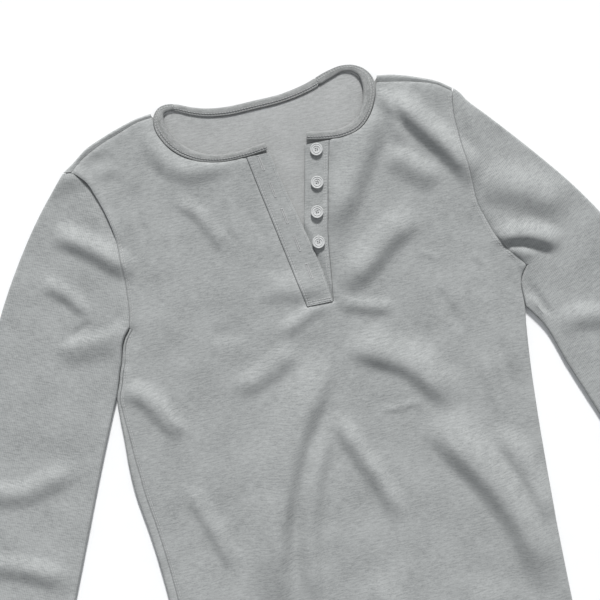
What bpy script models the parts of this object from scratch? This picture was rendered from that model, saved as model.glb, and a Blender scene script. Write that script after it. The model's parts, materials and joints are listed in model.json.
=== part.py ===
"""A knitted henley top with long sleeves, laid flat on its back.

The garment lies on a table at z = 0, +X to the viewer's right and +Y towards the neck. The
back panel is flat on the table and wraps forward over the shoulders and the left side. The
front panel lies on it in folds, the sleeves are flattened tubes, and a folded band and an
open placket of two strips finish the neck.

All tables are in millimetres, measured from the middle of the neck: x to the right, y up
towards the neck, so places on the body have a negative y. The origin of the part is on the
underside of the back panel, ORIGIN_BELOW_NECK below the neck.
"""
import math

import bmesh
import bpy
import numpy as np
from mathutils import Vector
from mathutils.bvhtree import BVHTree
from mathutils.geometry import delaunay_2d_cdt

MM = 0.001
ORIGIN_BELOW_NECK = 300.0

# Cloth
WALL = 1.4
SEAM_GAP = 0.3
UNDERARM_GAP = 0.18
ROLL_REACH = 2.0
LOWEST_TOP = 3.3
PLAIN_TOP = 4.4

# Mesh spacing
SPACING = 13.5
SLEEVE_SPACING = 15.0
FLOOR_SPACING = 40.0
SEAM_STEP = 12.0
EDGE_STEP = 19.0
NECK_STEP = 8.0
CREST_LINE_STEP = 6.0
ROLL_ANGLES = (0.0, 50.0, 90.0, 130.0, 180.0)
END_TURN = 14.0
SHARP_ANGLE = 50.0
# Least distance of a point from others, as a share of the mesh spacing
GUIDE_FROM_EDGE = 0.4
LATTICE_FROM_EDGE = 0.5
LATTICE_FROM_GUIDE = 0.62
CREST_FROM_CREST = 0.6

# Body
HEM_Y = -600.0

# Neck band
BAND_THICK = 3.4
BAND_SIDES = 8
BAND_SQUARENESS = 2.6
BAND_STEP = 7.0

# Placket
STRIP_THICK = 2.0
STRIP_PROUD = 0.3
STRIP_STEP = 8.0
TUCK_CLEAR = 0.5
TUCK_RUN = 2.5
TUCK_DROP = 2.4
TUCKED_EDGE = 1.0
BUTTON_STRIP_CREASES = (0.35, 0.7)

# Buttons, 18 ligne
BUTTON_RADIUS = 5.75
BUTTON_SIDES = 20
BUTTON_PROFILE = [
    # inset from the rim, height
    (0.9, 0.0), (0.0, 0.8), (0.0, 1.7), (0.5, 2.4), (1.3, 2.4), (1.9, 1.8),
]
BUTTON_SEAT_RINGS = (0.0, 0.3, 0.6, 0.85, 1.0)
SKY = 60.0

# Looks
COLOURS = {
    # finish: colour, roughness
    "grey melange knit": ((0.40, 0.41, 0.40), 0.95),
    "grey melange knit, inside": ((0.44, 0.45, 0.44), 0.95),
    "grey melange binding": ((0.36, 0.37, 0.36), 0.95),
    "grey button": ((0.62, 0.63, 0.62), 0.35),
}

# Seam and edge lines, each a smooth line through its points (x, y)
SIDE_LEFT = [
    (-182.0, HEM_Y), (-180.0, -520.0), (-180.6, -450.0), (-183.0, -400.0), (-185.4, -373.3),
    (-191.4, -324.0), (-191.8, -300.0), (-190.9, -277.4), (-190.7, -255.0),
]
UNDERARM_LEFT = [
    (-189.8, -241.0), (-185.6, -230.0), (-181.6, -217.5), (-178.4, -209.5), (-175.8, -199.0),
    (-171.6, -189.0), (-165.0, -181.0),
]
ARMHOLE_LEFT = [
    (-195.5, -29.6), (-187.6, -30.7), (-181.0, -36.0), (-175.5, -42.9), (-170.4, -56.0),
    (-166.2, -68.8), (-161.5, -89.9), (-160.0, -107.0), (-159.9, -125.5), (-161.1, -155.3),
    (-162.5, -168.5), (-165.2, -180.3),
]
SLEEVE_LEFT_OUTER = [
    (-195.9, -29.8), (-224.0, -62.0), (-254.0, -104.0), (-282.0, -152.0), (-304.0, -200.0),
    (-323.0, -255.0), (-343.0, -321.0), (-376.0, -432.0), (-403.0, -557.0),
]
SLEEVE_LEFT_INNER = [
    (-193.6, -249.0), (-210.5, -286.5), (-242.4, -361.2), (-285.0, -465.0), (-322.0, -585.0),
]
SIDE_RIGHT = [
    (182.0, HEM_Y), (181.0, -540.0), (181.0, -480.0), (182.0, -420.0), (183.5, -380.0),
    (184.9, -345.4), (186.1, -323.8), (187.9, -295.7), (190.5, -267.6), (192.3, -252.0),
]
UNDERARM_RIGHT = [
    (194.6, -236.5), (194.9, -230.0), (194.9, -222.0), (195.4, -215.0), (196.9, -210.0),
    (200.2, -204.5), (204.0, -199.9),
]
ARMHOLE_RIGHT = [
    (171.6, -26.8), (169.4, -33.0), (167.9, -42.0), (167.0, -52.0), (167.6, -65.0),
    (168.4, -81.0), (170.0, -100.0), (170.6, -115.0), (171.9, -135.8), (176.2, -150.7),
    (181.4, -166.9), (185.9, -176.5), (194.2, -188.0), (203.8, -199.3),
]
SLEEVE_RIGHT_OUTER = [
    (171.9, -27.1), (176.6, -32.3), (180.5, -39.0), (196.5, -57.5), (216.7, -81.1),
    (236.7, -105.4), (265.0, -143.0), (296.0, -195.0), (325.0, -260.0), (352.0, -335.0),
    (380.0, -430.0), (407.0, -535.0),
]
SLEEVE_RIGHT_INNER = [
    (198.0, -241.5), (205.5, -252.5), (221.0, -295.0), (246.0, -362.0), (281.0, -460.0),
    (322.0, -562.0),
]

# Forward seams: the fold on the outline, and the seam that it ends in, station by station
SHOULDER_LEFT = [
    # fold x, fold y, seam x, seam y
    (-105.3, 7.8, -105.2, 4.3), (-116.4, 6.5, -118.0, 2.9), (-134.2, 1.9, -135.4, -2.9),
    (-152.3, -4.3, -153.5, -9.2), (-170.8, -12.1, -171.6, -17.8), (-184.7, -22.2, -181.8, -25.0),
    (-194.9, -28.9, -187.5, -29.9),
]
SHOULDER_RIGHT = [
    (105.2, -0.9, 104.3, -6.7), (117.6, -2.8, 116.6, -9.0), (139.6, -9.5, 138.4, -13.8),
    (159.5, -18.2, 158.2, -20.8), (170.8, -26.5, 169.3, -28.7),
]
LIP_LEFT = [
    # y, width of the strip of back panel that shows beside the side fold
    (HEM_Y, 8.5), (-375.0, 7.6), (-317.0, 8.0), (-268.0, 4.2), (-245.0, 2.7), (-180.0, 2.6),
]

# Neck band, from the left of the placket around the neck to its right
NECK_BAND = [
    # centre x, centre y, width, height of the centre
    (-7.6, -43.6, 7.4, 5.4), (-29.0, -46.0, 6.8, 5.2), (-52.0, -45.6, 7.0, 5.0),
    (-70.0, -40.4, 8.0, 4.8), (-85.0, -30.4, 9.6, 4.7), (-95.2, -17.2, 10.6, 4.6),
    (-99.4, -4.0, 10.4, 4.5), (-98.7, 3.2, 9.4, 4.2), (-95.6, 8.0, 7.6, 3.4),
    (-90.0, 9.8, 6.6, 2.5), (-82.0, 8.4, 6.6, 1.8), (-70.0, 3.2, 7.0, 1.7),
    (-58.0, -1.0, 7.6, 1.7), (-40.0, -4.0, 8.0, 1.7), (-10.0, -4.0, 8.0, 1.7),
    (16.0, -3.0, 7.8, 1.7), (40.0, 1.4, 8.0, 1.7), (63.0, 9.0, 7.8, 1.7),
    (75.0, 11.8, 6.2, 1.8), (84.5, 10.2, 6.4, 2.4), (91.8, 4.8, 8.4, 3.4),
    (95.7, -3.4, 11.2, 4.2), (96.0, -10.0, 11.6, 4.5), (93.4, -20.5, 10.8, 4.7),
    (87.3, -32.2, 10.4, 4.8), (78.2, -41.2, 9.6, 4.9), (63.0, -45.6, 8.0, 5.1),
    (47.0, -44.8, 7.6, 5.3), (30.6, -42.0, 7.2, 5.4),
]
BAND_LEFT_ROWS = (0, 8)
BAND_RIGHT_ROWS = (20, 29)
BACK_NECK = [
    (-105.4, 3.4), (-98.0, 1.0), (-90.5, 4.2), (-82.0, 3.4), (-71.0, -1.4), (-59.0, -5.8),
    (-40.0, -8.4), (-10.0, -8.4), (16.0, -7.4), (40.0, -3.2), (62.0, 4.4), (74.0, 7.8),
    (83.0, 5.8), (90.0, -1.0), (98.0, -6.0), (104.9, -5.6),
]

# Placket strips: their four edges at each level, the buttonhole strip on the left
PLACKET = [
    # buttonhole strip outer x, y, its inner x, button strip inner x, its outer x
    (-27.5, -50.0, -6.0, 27.2, 50.1), (-22.4, -80.0, -0.2, 20.6, 42.8),
    (-18.9, -99.0, 4.1, 16.6, 38.4), (-16.2, -113.9, 7.9, 13.0, 35.2),
    (-12.8, -133.1, 12.5, 8.8, 31.2), (-8.9, -154.7, 17.2, 5.6, 28.3),
    (-6.7, -166.8, 19.4, 4.4, 26.9), (-1.5, -195.3, 22.6, 0.6, 23.1),
]
BUTTONS = [(36.7, -56.3), (31.1, -86.0), (25.5, -112.5), (21.1, -139.8)]

# Loft: where the upper cloth stands off the table, as round hills
LOFTS = [
    # x, y, reach across, reach along, rise
    (0.0, -230.0, 190.0, 260.0, 0.8),
    (10.0, -120.0, 62.0, 120.0, 1.4),
    (0.0, -45.0, 120.0, 34.0, 0.9),
]

# Folds of the upper cloth: rise of the crest, its reach to the left and to the right of the
# line of travel, and the crest itself. A negative rise is a trough.
FOLDS = [
    # name, rise, left reach, right reach, crest
    ("below placket", 9.5, 18.0, 34.0,
     [(14, -230), (4, -250), (-10, -273), (-30, -303), (-50, -342), (-70, -392), (-88, -480)]),
    ("second below placket", 6.0, 14.0, 16.0,
     [(-1, -292), (-12, -318), (-22, -340), (-32, -365), (-40, -392), (-52, -480)]),
    ("third below placket", 5.0, 13.0, 14.0,
     [(1, -292), (12, -320), (22, -345), (32, -368), (44, -410)]),
    ("right of foot", 6.5, 30.0, 16.0,
     [(28, -230), (38, -243), (50, -251), (65, -259), (80, -269), (92, -283), (116, -318)]),
    ("right hip", 9.0, 36.0, 19.0,
     [(78, -314), (95, -334), (106, -352), (118, -371), (131, -392), (150, -436), (160, -500)]),
    ("right side", 5.5, 20.0, 13.0,
     [(143, -336), (152, -356), (161, -378), (169, -400), (176, -440)]),
    ("foot to armhole", 7.0, 24.0, 17.0,
     [(30, -188), (50, -176), (66, -165), (82, -152), (100, -142), (118, -134)]),
    ("neck to placket", 8.0, 19.0, 22.0,
     [(97, -10), (94, -35), (84, -58), (73, -76), (60, -97), (47, -117), (34, -146)]),
    ("shoulder edge", 3.5, 6.0, 12.0,
     [(105, -6), (108, -25), (112.5, -43), (114.5, -53), (113, -74)]),
    ("shoulder to armhole", 9.0, 20.0, 14.0,
     [(106, -10), (119, -32), (132, -50), (146, -69), (158, -86), (167, -104), (172, -126)]),
    ("right chest", 4.5, 15.0, 19.0,
     [(96, -68), (112, -82), (126, -95), (142, -112)]),
    ("around neck left", 3.2, 14.0, 15.0,
     [(-112, 4), (-109, -22), (-98, -43), (-83, -52), (-62, -53), (-34, -52)]),
    ("left chest", 2.6, 12.0, 9.0,
     [(-102, -72), (-90, -84), (-79, -97), (-72, -112), (-67, -132)]),
    ("above foot", 3.0, 22.0, 16.0,
     [(-52, -170), (-30, -174), (-10, -178), (12, -181), (26, -181)]),
    ("left of foot", 2.8, 11.0, 11.0,
     [(-34, -219), (-14, -208), (8, -199), (22, -198)]),
    ("under foot right", 2.8, 10.0, 11.0,
     [(24, -197), (42, -203), (58, -208), (80, -212)]),
    ("left belly", 4.0, 17.0, 16.0,
     [(-84, -260), (-58, -250), (-38, -241), (-14, -229)]),
    ("left waist", 4.5, 17.0, 13.0,
     [(-188, -232), (-172, -241), (-160, -253), (-149, -272), (-136, -294)]),
    ("left hip", 3.0, 15.0, 10.0,
     [(-145, -330), (-137, -354), (-128, -380), (-116, -420)]),
    ("left underarm", -2.2, 9.0, 8.0,
     [(-160, -178), (-166, -192), (-172, -206), (-175, -222)]),
    ("left cap", 6.5, 17.0, 15.0,
     [(-222, -82), (-206, -88), (-190, -98), (-172, -113), (-160, -124), (-144, -132)]),
    ("left shoulder tip", 2.6, 12.0, 16.0,
     [(-216, -48), (-200, -36), (-184, -34), (-170, -30)]),
    ("left cap low", 3.5, 13.0, 11.0,
     [(-238, -124), (-222, -133), (-211, -146), (-203, -166)]),
    ("left underarm sleeve", 3.4, 11.0, 22.0,
     [(-240, -190), (-222, -188), (-200, -187), (-180, -184), (-160, -174)]),
    ("right cap edge", 2.6, 15.0, 9.0,
     [(177, -34), (181, -52), (181, -72), (178, -92), (174, -112)]),
    ("right sleeve upper", 6.0, 30.0, 24.0,
     [(168, -114), (188, -121), (208, -129), (232, -142), (256, -160)]),
    ("right sleeve lower", 7.5, 18.0, 10.0,
     [(176, -168), (190, -171), (204, -172), (218, -177), (240, -192)]),
    ("right underarm patch", 2.5, 6.0, 9.0,
     [(186, -182), (197, -185), (206, -189), (213, -196)]),
    ("right underarm pocket", -3.0, 7.0, 8.0,
     [(201, -200), (199, -210), (199, -220), (203, -230)]),
    ("left elbow high", 4.0, 15.0, 17.0,
     [(-342, -296), (-318, -304), (-292, -308), (-262, -302), (-236, -290)]),
    ("left elbow", 4.5, 15.0, 16.0,
     [(-372, -372), (-344, -368), (-318, -372), (-290, -384), (-262, -400)]),
    ("left forearm", 3.0, 14.0, 15.0,
     [(-392, -458), (-368, -464), (-346, -460), (-318, -448)]),
    ("left wrist", 2.2, 12.0, 14.0,
     [(-402, -520), (-380, -516), (-356, -522), (-334, -534)]),
    ("right elbow high", 4.2, 16.0, 17.0,
     [(214, -262), (240, -256), (266, -262), (294, -276), (322, -284)]),
    ("right elbow", 4.6, 15.0, 16.0,
     [(252, -352), (276, -346), (300, -352), (326, -366), (352, -370)]),
    ("right forearm", 3.2, 14.0, 15.0,
     [(284, -436), (308, -440), (334, -434), (362, -422)]),
    ("right wrist", 2.2, 12.0, 14.0,
     [(318, -512), (342, -518), (364, -512), (392, -502)]),
    ("hem left", 3.2, 20.0, 18.0,
     [(-150, -450), (-142, -490), (-136, -540), (-134, -620)]),
    ("hem middle", 4.5, 22.0, 20.0,
     [(10, -440), (16, -490), (18, -540), (22, -620)]),
    ("hem right", 3.5, 22.0, 18.0,
     [(98, -470), (104, -510), (108, -560), (112, -620)]),
]
CREST_POINTS_FROM_RISE = 3.9
CREST_STEP = 10.0
TAPER_SHARE = 0.28

# Where each sleeve's inner fold starts, under the arm, the way into its cloth
INTO_SLEEVE_LEFT = (-0.9, 0.42)
INTO_SLEEVE_RIGHT = (1.0, 0.0)


def lerp(a, b, share):
    return a + (b - a) * share


def smooth_line(points, step):
    """A smooth line through the points, cut into pieces of about one step, ends kept."""
    points = np.asarray(points, float)
    chords = np.linalg.norm(np.diff(points[:, :2], axis=0), axis=1)
    slopes = np.diff(points, axis=0) / chords[:, None]
    tangents = np.vstack([slopes[:1], slopes[-1:]]) if len(points) == 2 else np.vstack([
        slopes[:1],
        (slopes[:-1] * chords[1:, None] + slopes[1:] * chords[:-1, None])
        / (chords[:-1] + chords[1:])[:, None],
        slopes[-1:],
    ])
    line = [points[0]]
    for i, chord in enumerate(chords):
        pieces = max(1, round(chord / step))
        for t in np.arange(1, pieces + 1) / pieces:
            line.append(
                (2 * t**3 - 3 * t**2 + 1) * points[i] + (3 * t**2 - 2 * t**3) * points[i + 1]
                + (t**3 - 2 * t**2 + t) * chord * tangents[i]
                + (t**3 - t**2) * chord * tangents[i + 1])
    return np.array(line)


def left_normals(line):
    """Unit normals to the left of the line of travel, one for each point."""
    steps = np.gradient(line[:, :2], axis=0)
    steps /= np.linalg.norm(steps, axis=1)[:, None]
    return np.column_stack([-steps[:, 1], steps[:, 0]])


def beside(line, distance):
    """The line moved sideways: to the left for a positive distance."""
    return line[:, :2] + left_normals(line) * distance


def nearest_on_line(points, line):
    """Distance to the line, side of it (+1 left) and share of its length, for each point."""
    starts, ends = line[:-1], line[1:]
    runs = ends - starts
    lengths = np.linalg.norm(runs, axis=1)
    gaps = points[:, None, :] - starts[None]
    along = np.clip((gaps * runs[None]).sum(2) / (lengths**2)[None], 0.0, 1.0)
    offsets = gaps - along[..., None] * runs[None]
    distances = np.linalg.norm(offsets, axis=2)
    best = distances.argmin(1)
    rows = np.arange(len(points))
    run, offset = runs[best], offsets[rows, best]
    side = np.sign(run[:, 0] * offset[:, 1] - run[:, 1] * offset[:, 0])
    before = np.concatenate([[0.0], np.cumsum(lengths)])
    share = (before[best] + along[rows, best] * lengths[best]) / before[-1]
    return distances[rows, best], side, share


def fold_height(points, rise, left, right, crest):
    """One fold: a rounded ridge with its own slope on each side, fading at both ends."""
    distance, side, share = nearest_on_line(points, smooth_line(crest, CREST_LINE_STEP)[:, :2])
    reach = np.where(side >= 0, left, right)
    profile = 0.5 * (1 + np.cos(math.pi * np.clip(distance / reach, 0, 1)))
    fade = np.clip(np.minimum(share, 1 - share) / TAPER_SHARE, 0, 1)
    return rise * profile * fade * fade * (3 - 2 * fade)


def top_height(points):
    """Height of the upper cloth's outer face above the table."""
    points = np.atleast_2d(np.asarray(points, float))[:, :2]
    height = np.full(len(points), PLAIN_TOP)
    for x, y, across, along, rise in LOFTS:
        height += rise * np.exp(-((points[:, 0] - x) / across)**2
                                - ((points[:, 1] - y) / along)**2)
    for _, rise, left, right, crest in FOLDS:
        height += fold_height(points, rise, left, right, crest)
    return np.maximum(height, LOWEST_TOP)


def inside(points, outline):
    """True for each point that lies inside the closed outline."""
    x, y = points[:, 0][:, None], points[:, 1][:, None]
    a, b = outline, np.roll(outline, -1, axis=0)
    crosses = (a[:, 1] > y) != (b[:, 1] > y)
    rise = np.where(b[:, 1] == a[:, 1], 1e-9, b[:, 1] - a[:, 1])
    hit = x < a[:, 0] + (y - a[:, 1]) / rise * (b[:, 0] - a[:, 0])
    return (crosses & hit).sum(1) % 2 == 1


def clear_of(points, others, distance):
    if not len(others) or not len(points):
        return np.ones(len(points), bool)
    gaps = np.linalg.norm(points[:, None, :] - others[None], axis=2)
    return gaps.min(1) > distance


def crest_points():
    """Points along the crests of the larger folds, so that the mesh keeps their ridges."""
    rows = []
    for _, rise, _, _, crest in FOLDS:
        if abs(rise) >= CREST_POINTS_FROM_RISE:
            rows.append(smooth_line(crest, CREST_STEP)[:, :2])
    kept = np.empty((0, 2))
    for point in np.vstack(rows):
        if clear_of(point[None], kept, CREST_FROM_CREST * CREST_STEP)[0]:
            kept = np.vstack([kept, point])
    return kept


def fill(outline, spacing, guides=None):
    """Triangles inside a plan outline, over its own points and an even lattice of points."""
    following = np.roll(outline, -1, axis=0)
    if (outline[:, 0] * following[:, 1] - outline[:, 1] * following[:, 0]).sum() < 0:
        outline, following = outline[::-1], np.roll(outline[::-1], -1, axis=0)
    edge = np.vstack([smooth_line([a, b], spacing / 3)[:, :2]
                      for a, b in zip(outline, following)])
    extra = np.empty((0, 2))
    if guides is not None:
        extra = guides[inside(guides, outline)]
        extra = extra[clear_of(extra, edge, GUIDE_FROM_EDGE * spacing)]
    low, high = outline.min(0), outline.max(0)
    lattice = []
    row_height = spacing * math.sqrt(3) / 2
    for row in range(int((high[1] - low[1]) / row_height) + 1):
        shift = spacing / 2 * (row % 2)
        for column in range(int((high[0] - low[0]) / spacing) + 1):
            lattice.append((low[0] + shift + column * spacing, low[1] + row * row_height))
    lattice = np.array(lattice)
    lattice = lattice[inside(lattice, outline)]
    lattice = lattice[clear_of(lattice, edge, LATTICE_FROM_EDGE * spacing)]
    lattice = lattice[clear_of(lattice, extra, LATTICE_FROM_GUIDE * spacing)]
    points = np.vstack([outline, extra, lattice])
    _, _, faces, sources, _, _ = delaunay_2d_cdt(
        [Vector(point) for point in points], [], [list(range(len(outline)))], 1, 1e-4)
    return points, [[sources[i][0] for i in face] for face in faces]


class Cloth:
    """A sheet of cloth with a wall: every point has a place on its outer and inner face."""

    def __init__(self):
        self.ids = {}
        self.outer = []
        self.inner = []
        self.faces = []

    def point(self, outer, inner):
        key = tuple(round(c * 1000) for c in outer)
        if key not in self.ids:
            self.ids[key] = len(self.outer)
            self.outer.append(tuple(outer))
            self.inner.append(tuple(inner))
        return self.ids[key]

    def face(self, corners):
        corners = list(dict.fromkeys(corners))
        if len(corners) > 2:
            self.faces.append(corners)

    def upper(self, points, faces):
        """A filled area of the upper cloth, following the folds."""
        ids = [self.point((x, y, z), (x, y, z - WALL))
               for (x, y), z in zip(points, top_height(points))]
        for face in faces:
            self.face([ids[i] for i in face])

    def floor(self, points, faces):
        """A filled area that lies flat on the table."""
        ids = [self.point((x, y, 0.0), (x, y, WALL)) for x, y in points]
        for face in faces:
            self.face([ids[i] for i in face])

    def roll(self, fold, inward):
        """The rounded fold where the upper cloth turns under to the table."""
        inset = fold + inward * ROLL_REACH
        halves = top_height(inset) / 2
        rows = []
        for (x, y), (dx, dy), half in zip(inset, inward, halves):
            row = []
            for angle in ROLL_ANGLES:
                s, c = math.sin(math.radians(angle)), math.cos(math.radians(angle))
                out, within = ROLL_REACH * s, (ROLL_REACH - WALL) * s
                row.append(self.point(
                    (x - dx * out, y - dy * out, half + half * c),
                    (x - dx * within, y - dy * within, half + (half - WALL) * c)))
            rows.append(row)
        for a, b in zip(rows, rows[1:]):
            for k in range(len(ROLL_ANGLES) - 1):
                self.face([a[k], a[k + 1], b[k + 1], b[k]])
        return inset

    def ribbon(self, first, second):
        """A strip of upper cloth between two lines with the same number of points."""
        count = len(first)
        faces = [[i, i + 1, count + i + 1, count + i] for i in range(count - 1)]
        self.upper(np.vstack([first, second]), faces)

    def solid(self, name, material):
        """Outer face, inner face and the cut edges between them, as one closed solid."""
        count = len(self.outer)
        faces = self.faces + [[count + i for i in reversed(face)] for face in self.faces]
        uses = {}
        for face in self.faces:
            for a, b in zip(face, face[1:] + face[:1]):
                uses.setdefault(frozenset((a, b)), []).append((a, b))
        for edge in uses.values():
            if len(edge) == 1:
                a, b = edge[0]
                faces.append([b, a, count + a, count + b])
        return make_solid(name, self.outer + self.inner, faces, material)


def make_solid(name, points, faces, material):
    """An object from points in millimetres, its faces turned outwards."""
    mesh = bpy.data.meshes.new(name)
    mesh.from_pydata(
        [(x * MM, (y + ORIGIN_BELOW_NECK) * MM, z * MM) for x, y, z in points], [], faces)
    work = bmesh.new()
    work.from_mesh(mesh)
    bmesh.ops.recalc_face_normals(work, faces=work.faces)
    work.to_mesh(mesh)
    work.free()
    mesh.materials.append(material)
    mesh.shade_smooth()
    mesh.set_sharp_from_angle(angle=math.radians(SHARP_ANGLE))
    thing = bpy.data.objects.new(name, mesh)
    bpy.context.collection.objects.link(thing)
    return thing


def make_material(name):
    colour, roughness = COLOURS[name]
    material = bpy.data.materials.new(name)
    material.use_nodes = True
    shader = material.node_tree.nodes["Principled BSDF"]
    shader.inputs["Base Color"].default_value = (*colour, 1.0)
    shader.inputs["Roughness"].default_value = roughness
    shader.inputs["Metallic"].default_value = 0.0
    return material


def unit(vector):
    vector = np.asarray(vector, float)
    return vector / np.linalg.norm(vector)


def inward_directions(fold, side, start=None, end=None):
    """Directions from a fold into the cloth. Near an end they turn to the one given there."""
    directions = left_normals(fold) * side
    along = np.concatenate([[0.0], np.cumsum(np.linalg.norm(np.diff(fold, axis=0), axis=1))])
    for given, gap in ((start, along), (end, along[-1] - along)):
        if given is not None:
            share = np.clip(1 - gap / END_TURN, 0, 1)[:, None]
            directions = directions * (1 - share) + unit(given) * share
    return directions / np.linalg.norm(directions, axis=1)[:, None]


class Plan:
    """The seams and folds in plan, sampled once so that neighbours share their points."""

    def __init__(self):
        gap = SEAM_GAP / 2
        left = smooth_line(ARMHOLE_LEFT, SEAM_STEP)
        right = smooth_line(ARMHOLE_RIGHT, SEAM_STEP)
        self.body_armhole_left = beside(left, gap)
        self.sleeve_armhole_left = beside(left, -gap)
        self.body_armhole_right = beside(right, -gap)
        self.sleeve_armhole_right = beside(right, gap)

        contact = smooth_line(SIDE_LEFT[-1:] + UNDERARM_LEFT, SEAM_STEP)
        self.side_left = np.vstack([smooth_line(SIDE_LEFT, EDGE_STEP)[:-1, :2],
                                    beside(contact, -gap)])
        inner = smooth_line(UNDERARM_LEFT[::-1] + SLEEVE_LEFT_INNER, EDGE_STEP)
        self.sleeve_left_inner = beside(inner, -UNDERARM_GAP)
        self.sleeve_left_outer = smooth_line(SLEEVE_LEFT_OUTER, EDGE_STEP)[:, :2]

        contact = smooth_line(SIDE_RIGHT[-1:] + UNDERARM_RIGHT, SEAM_STEP)
        self.side_right = np.vstack([smooth_line(SIDE_RIGHT, EDGE_STEP)[:-1, :2],
                                     beside(contact, gap)])
        inner = smooth_line(UNDERARM_RIGHT[::-1] + SLEEVE_RIGHT_INNER, EDGE_STEP)
        self.sleeve_right_inner = beside(inner, UNDERARM_GAP)
        self.sleeve_right_outer = smooth_line(SLEEVE_RIGHT_OUTER, EDGE_STEP)[:, :2]

        self.side_right_inward = inward_directions(
            self.side_right, 1.0, start=(-1, 0), end=unit(right[-2] - right[-1]))
        self.side_left_seam = self.lip_seam()
        self.shoulder_left = smooth_line(SHOULDER_LEFT, SEAM_STEP)
        self.shoulder_right = smooth_line(SHOULDER_RIGHT, SEAM_STEP)
        self.placket = smooth_line(PLACKET, STRIP_STEP)
        self.neck_left = self.band_edge(*BAND_LEFT_ROWS)
        self.neck_right = self.band_edge(*BAND_RIGHT_ROWS)

    def lip_seam(self):
        """The left side seam, inside the fold by the width of the lip there."""
        levels, widths = np.array(LIP_LEFT).T
        width = np.interp(self.side_left[:, 1], levels, widths)
        normals = left_normals(self.side_left)
        return self.side_left - normals * width[:, None]

    def band_edge(self, first, last):
        """The seam between the band and the front, just outside the band's outer edge."""
        rows = np.array(NECK_BAND[first:last])
        line = smooth_line(rows, NECK_STEP)
        return line[:, :2] + left_normals(line) * (line[:, 2] / 2 + SEAM_GAP)[:, None]


def make_front(plan, guides, material):
    """Front panel: slit for the placket, its right side turned under to the table."""
    gap = SEAM_GAP
    slit_left = plan.placket[:, [0, 1]] - (gap, 0)
    slit_right = plan.placket[:, [4, 1]] + (gap, 0)
    slit_left[-1, 1] -= gap
    slit_right[-1, 1] -= gap
    foot = smooth_line([slit_left[-1], slit_right[-1]], STRIP_STEP)[1:-1]
    neck_left = plan.neck_left[plan.neck_left[:, 0] < slit_left[0, 0] - 2.0]
    neck_right = plan.neck_right[plan.neck_right[:, 0] > slit_right[0, 0] + 2.0]
    neck_left = neck_left[neck_left[:, 1] < SHOULDER_LEFT[0][3] - 2.0]
    neck_right = neck_right[neck_right[:, 1] < SHOULDER_RIGHT[0][3] - 2.0]
    below = (0.0, -gap)
    seam_left = plan.shoulder_left[:, 2:] + below
    seam_right = plan.shoulder_right[:, 2:] + below
    side_seam = plan.side_left_seam + (gap, 0)
    hem_left, hem_right = side_seam[0], (plan.side_right + plan.side_right_inward * ROLL_REACH)[0]
    hem = smooth_line([hem_left, hem_right], SPACING)[1:-1, :2]
    inset = plan.side_right + plan.side_right_inward * ROLL_REACH
    outline = np.vstack([
        inset,
        plan.body_armhole_right[::-1][1:-1],
        seam_right[::-1],
        neck_right,
        slit_right,
        foot[::-1],
        slit_left[::-1],
        neck_left,
        seam_left,
        plan.body_armhole_left[2:],
        side_seam[::-1],
        hem,
    ])
    cloth = Cloth()
    cloth.upper(*fill(outline, SPACING, guides))
    cloth.roll(plan.side_right, plan.side_right_inward)
    return cloth.solid("front", material)


def make_back(plan, material):
    """Back panel: flat on the table, wrapped forward over the shoulders and the left side."""
    cloth = Cloth()
    folds = []
    for fold, seam in (
            (plan.side_left, plan.side_left_seam),
            (plan.shoulder_left[:, :2], plan.shoulder_left[:, 2:]),
            (plan.shoulder_right[:, :2], plan.shoulder_right[:, 2:])):
        inward = seam - fold
        inward /= np.linalg.norm(inward, axis=1)[:, None]
        inset = cloth.roll(fold, inward)
        cloth.ribbon(inset, seam)
        folds.append(inset)
    side_left, shoulder_left, shoulder_right = folds
    side_right = plan.side_right + plan.side_right_inward * (ROLL_REACH + SEAM_GAP)
    hem = smooth_line([side_left[0], side_right[0]], FLOOR_SPACING)[1:-1, :2]
    outline = np.vstack([
        side_right,
        plan.body_armhole_right[::-1][1:-1],
        shoulder_right[::-1],
        np.array(BACK_NECK)[::-1][1:-1],
        shoulder_left,
        plan.body_armhole_left[1:],
        side_left[::-1],
        hem,
    ])
    cloth.floor(*fill(outline, FLOOR_SPACING))
    return cloth.solid("back", material)


def make_sleeve(name, armhole, outer, inner, side, inner_start, guides, material):
    """A sleeve: one flattened tube, folded at both edges, open at the armhole and the wrist."""
    cloth = Cloth()
    outer_in = inward_directions(outer, side, start=armhole[1] - armhole[0])
    inner_in = inward_directions(inner, -side, start=inner_start)
    outer_inset = cloth.roll(outer, outer_in)
    inner_inset = cloth.roll(inner, inner_in)
    wrist = smooth_line([inner_inset[-1], outer_inset[-1]], EDGE_STEP)[1:-1, :2]
    outline = np.vstack([
        outer_inset[:1], armhole[1:], inner_inset, wrist, outer_inset[:0:-1]])
    cloth.upper(*fill(outline, SLEEVE_SPACING, guides))
    cloth.floor(*fill(outline, FLOOR_SPACING))
    return cloth.solid(name, material)


def make_band(material):
    """Neck band: a folded strip, swept as a flattened oval along its centre line."""
    line = smooth_line(NECK_BAND, BAND_STEP)
    normals = left_normals(line)
    points, faces = [], []
    for (x, y, width, level), (nx, ny) in zip(line, normals):
        for k in range(BAND_SIDES):
            angle = 2 * math.pi * (k + 0.5) / BAND_SIDES
            across, up = math.cos(angle), math.sin(angle)
            scale = (abs(across)**BAND_SQUARENESS + abs(up)**BAND_SQUARENESS)**(-1 / BAND_SQUARENESS)
            across, up = across * scale * width / 2, up * scale * BAND_THICK / 2
            points.append((x + nx * across, y + ny * across, level + up))
    for i in range(len(line) - 1):
        for k in range(BAND_SIDES):
            a, b = i * BAND_SIDES + k, i * BAND_SIDES + (k + 1) % BAND_SIDES
            faces.append([a, b, b + BAND_SIDES, a + BAND_SIDES])
    faces.append(list(range(BAND_SIDES)))
    faces.append(list(range(len(points) - BAND_SIDES, len(points))))
    return make_solid("neck_binding", points, faces, material)


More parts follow.
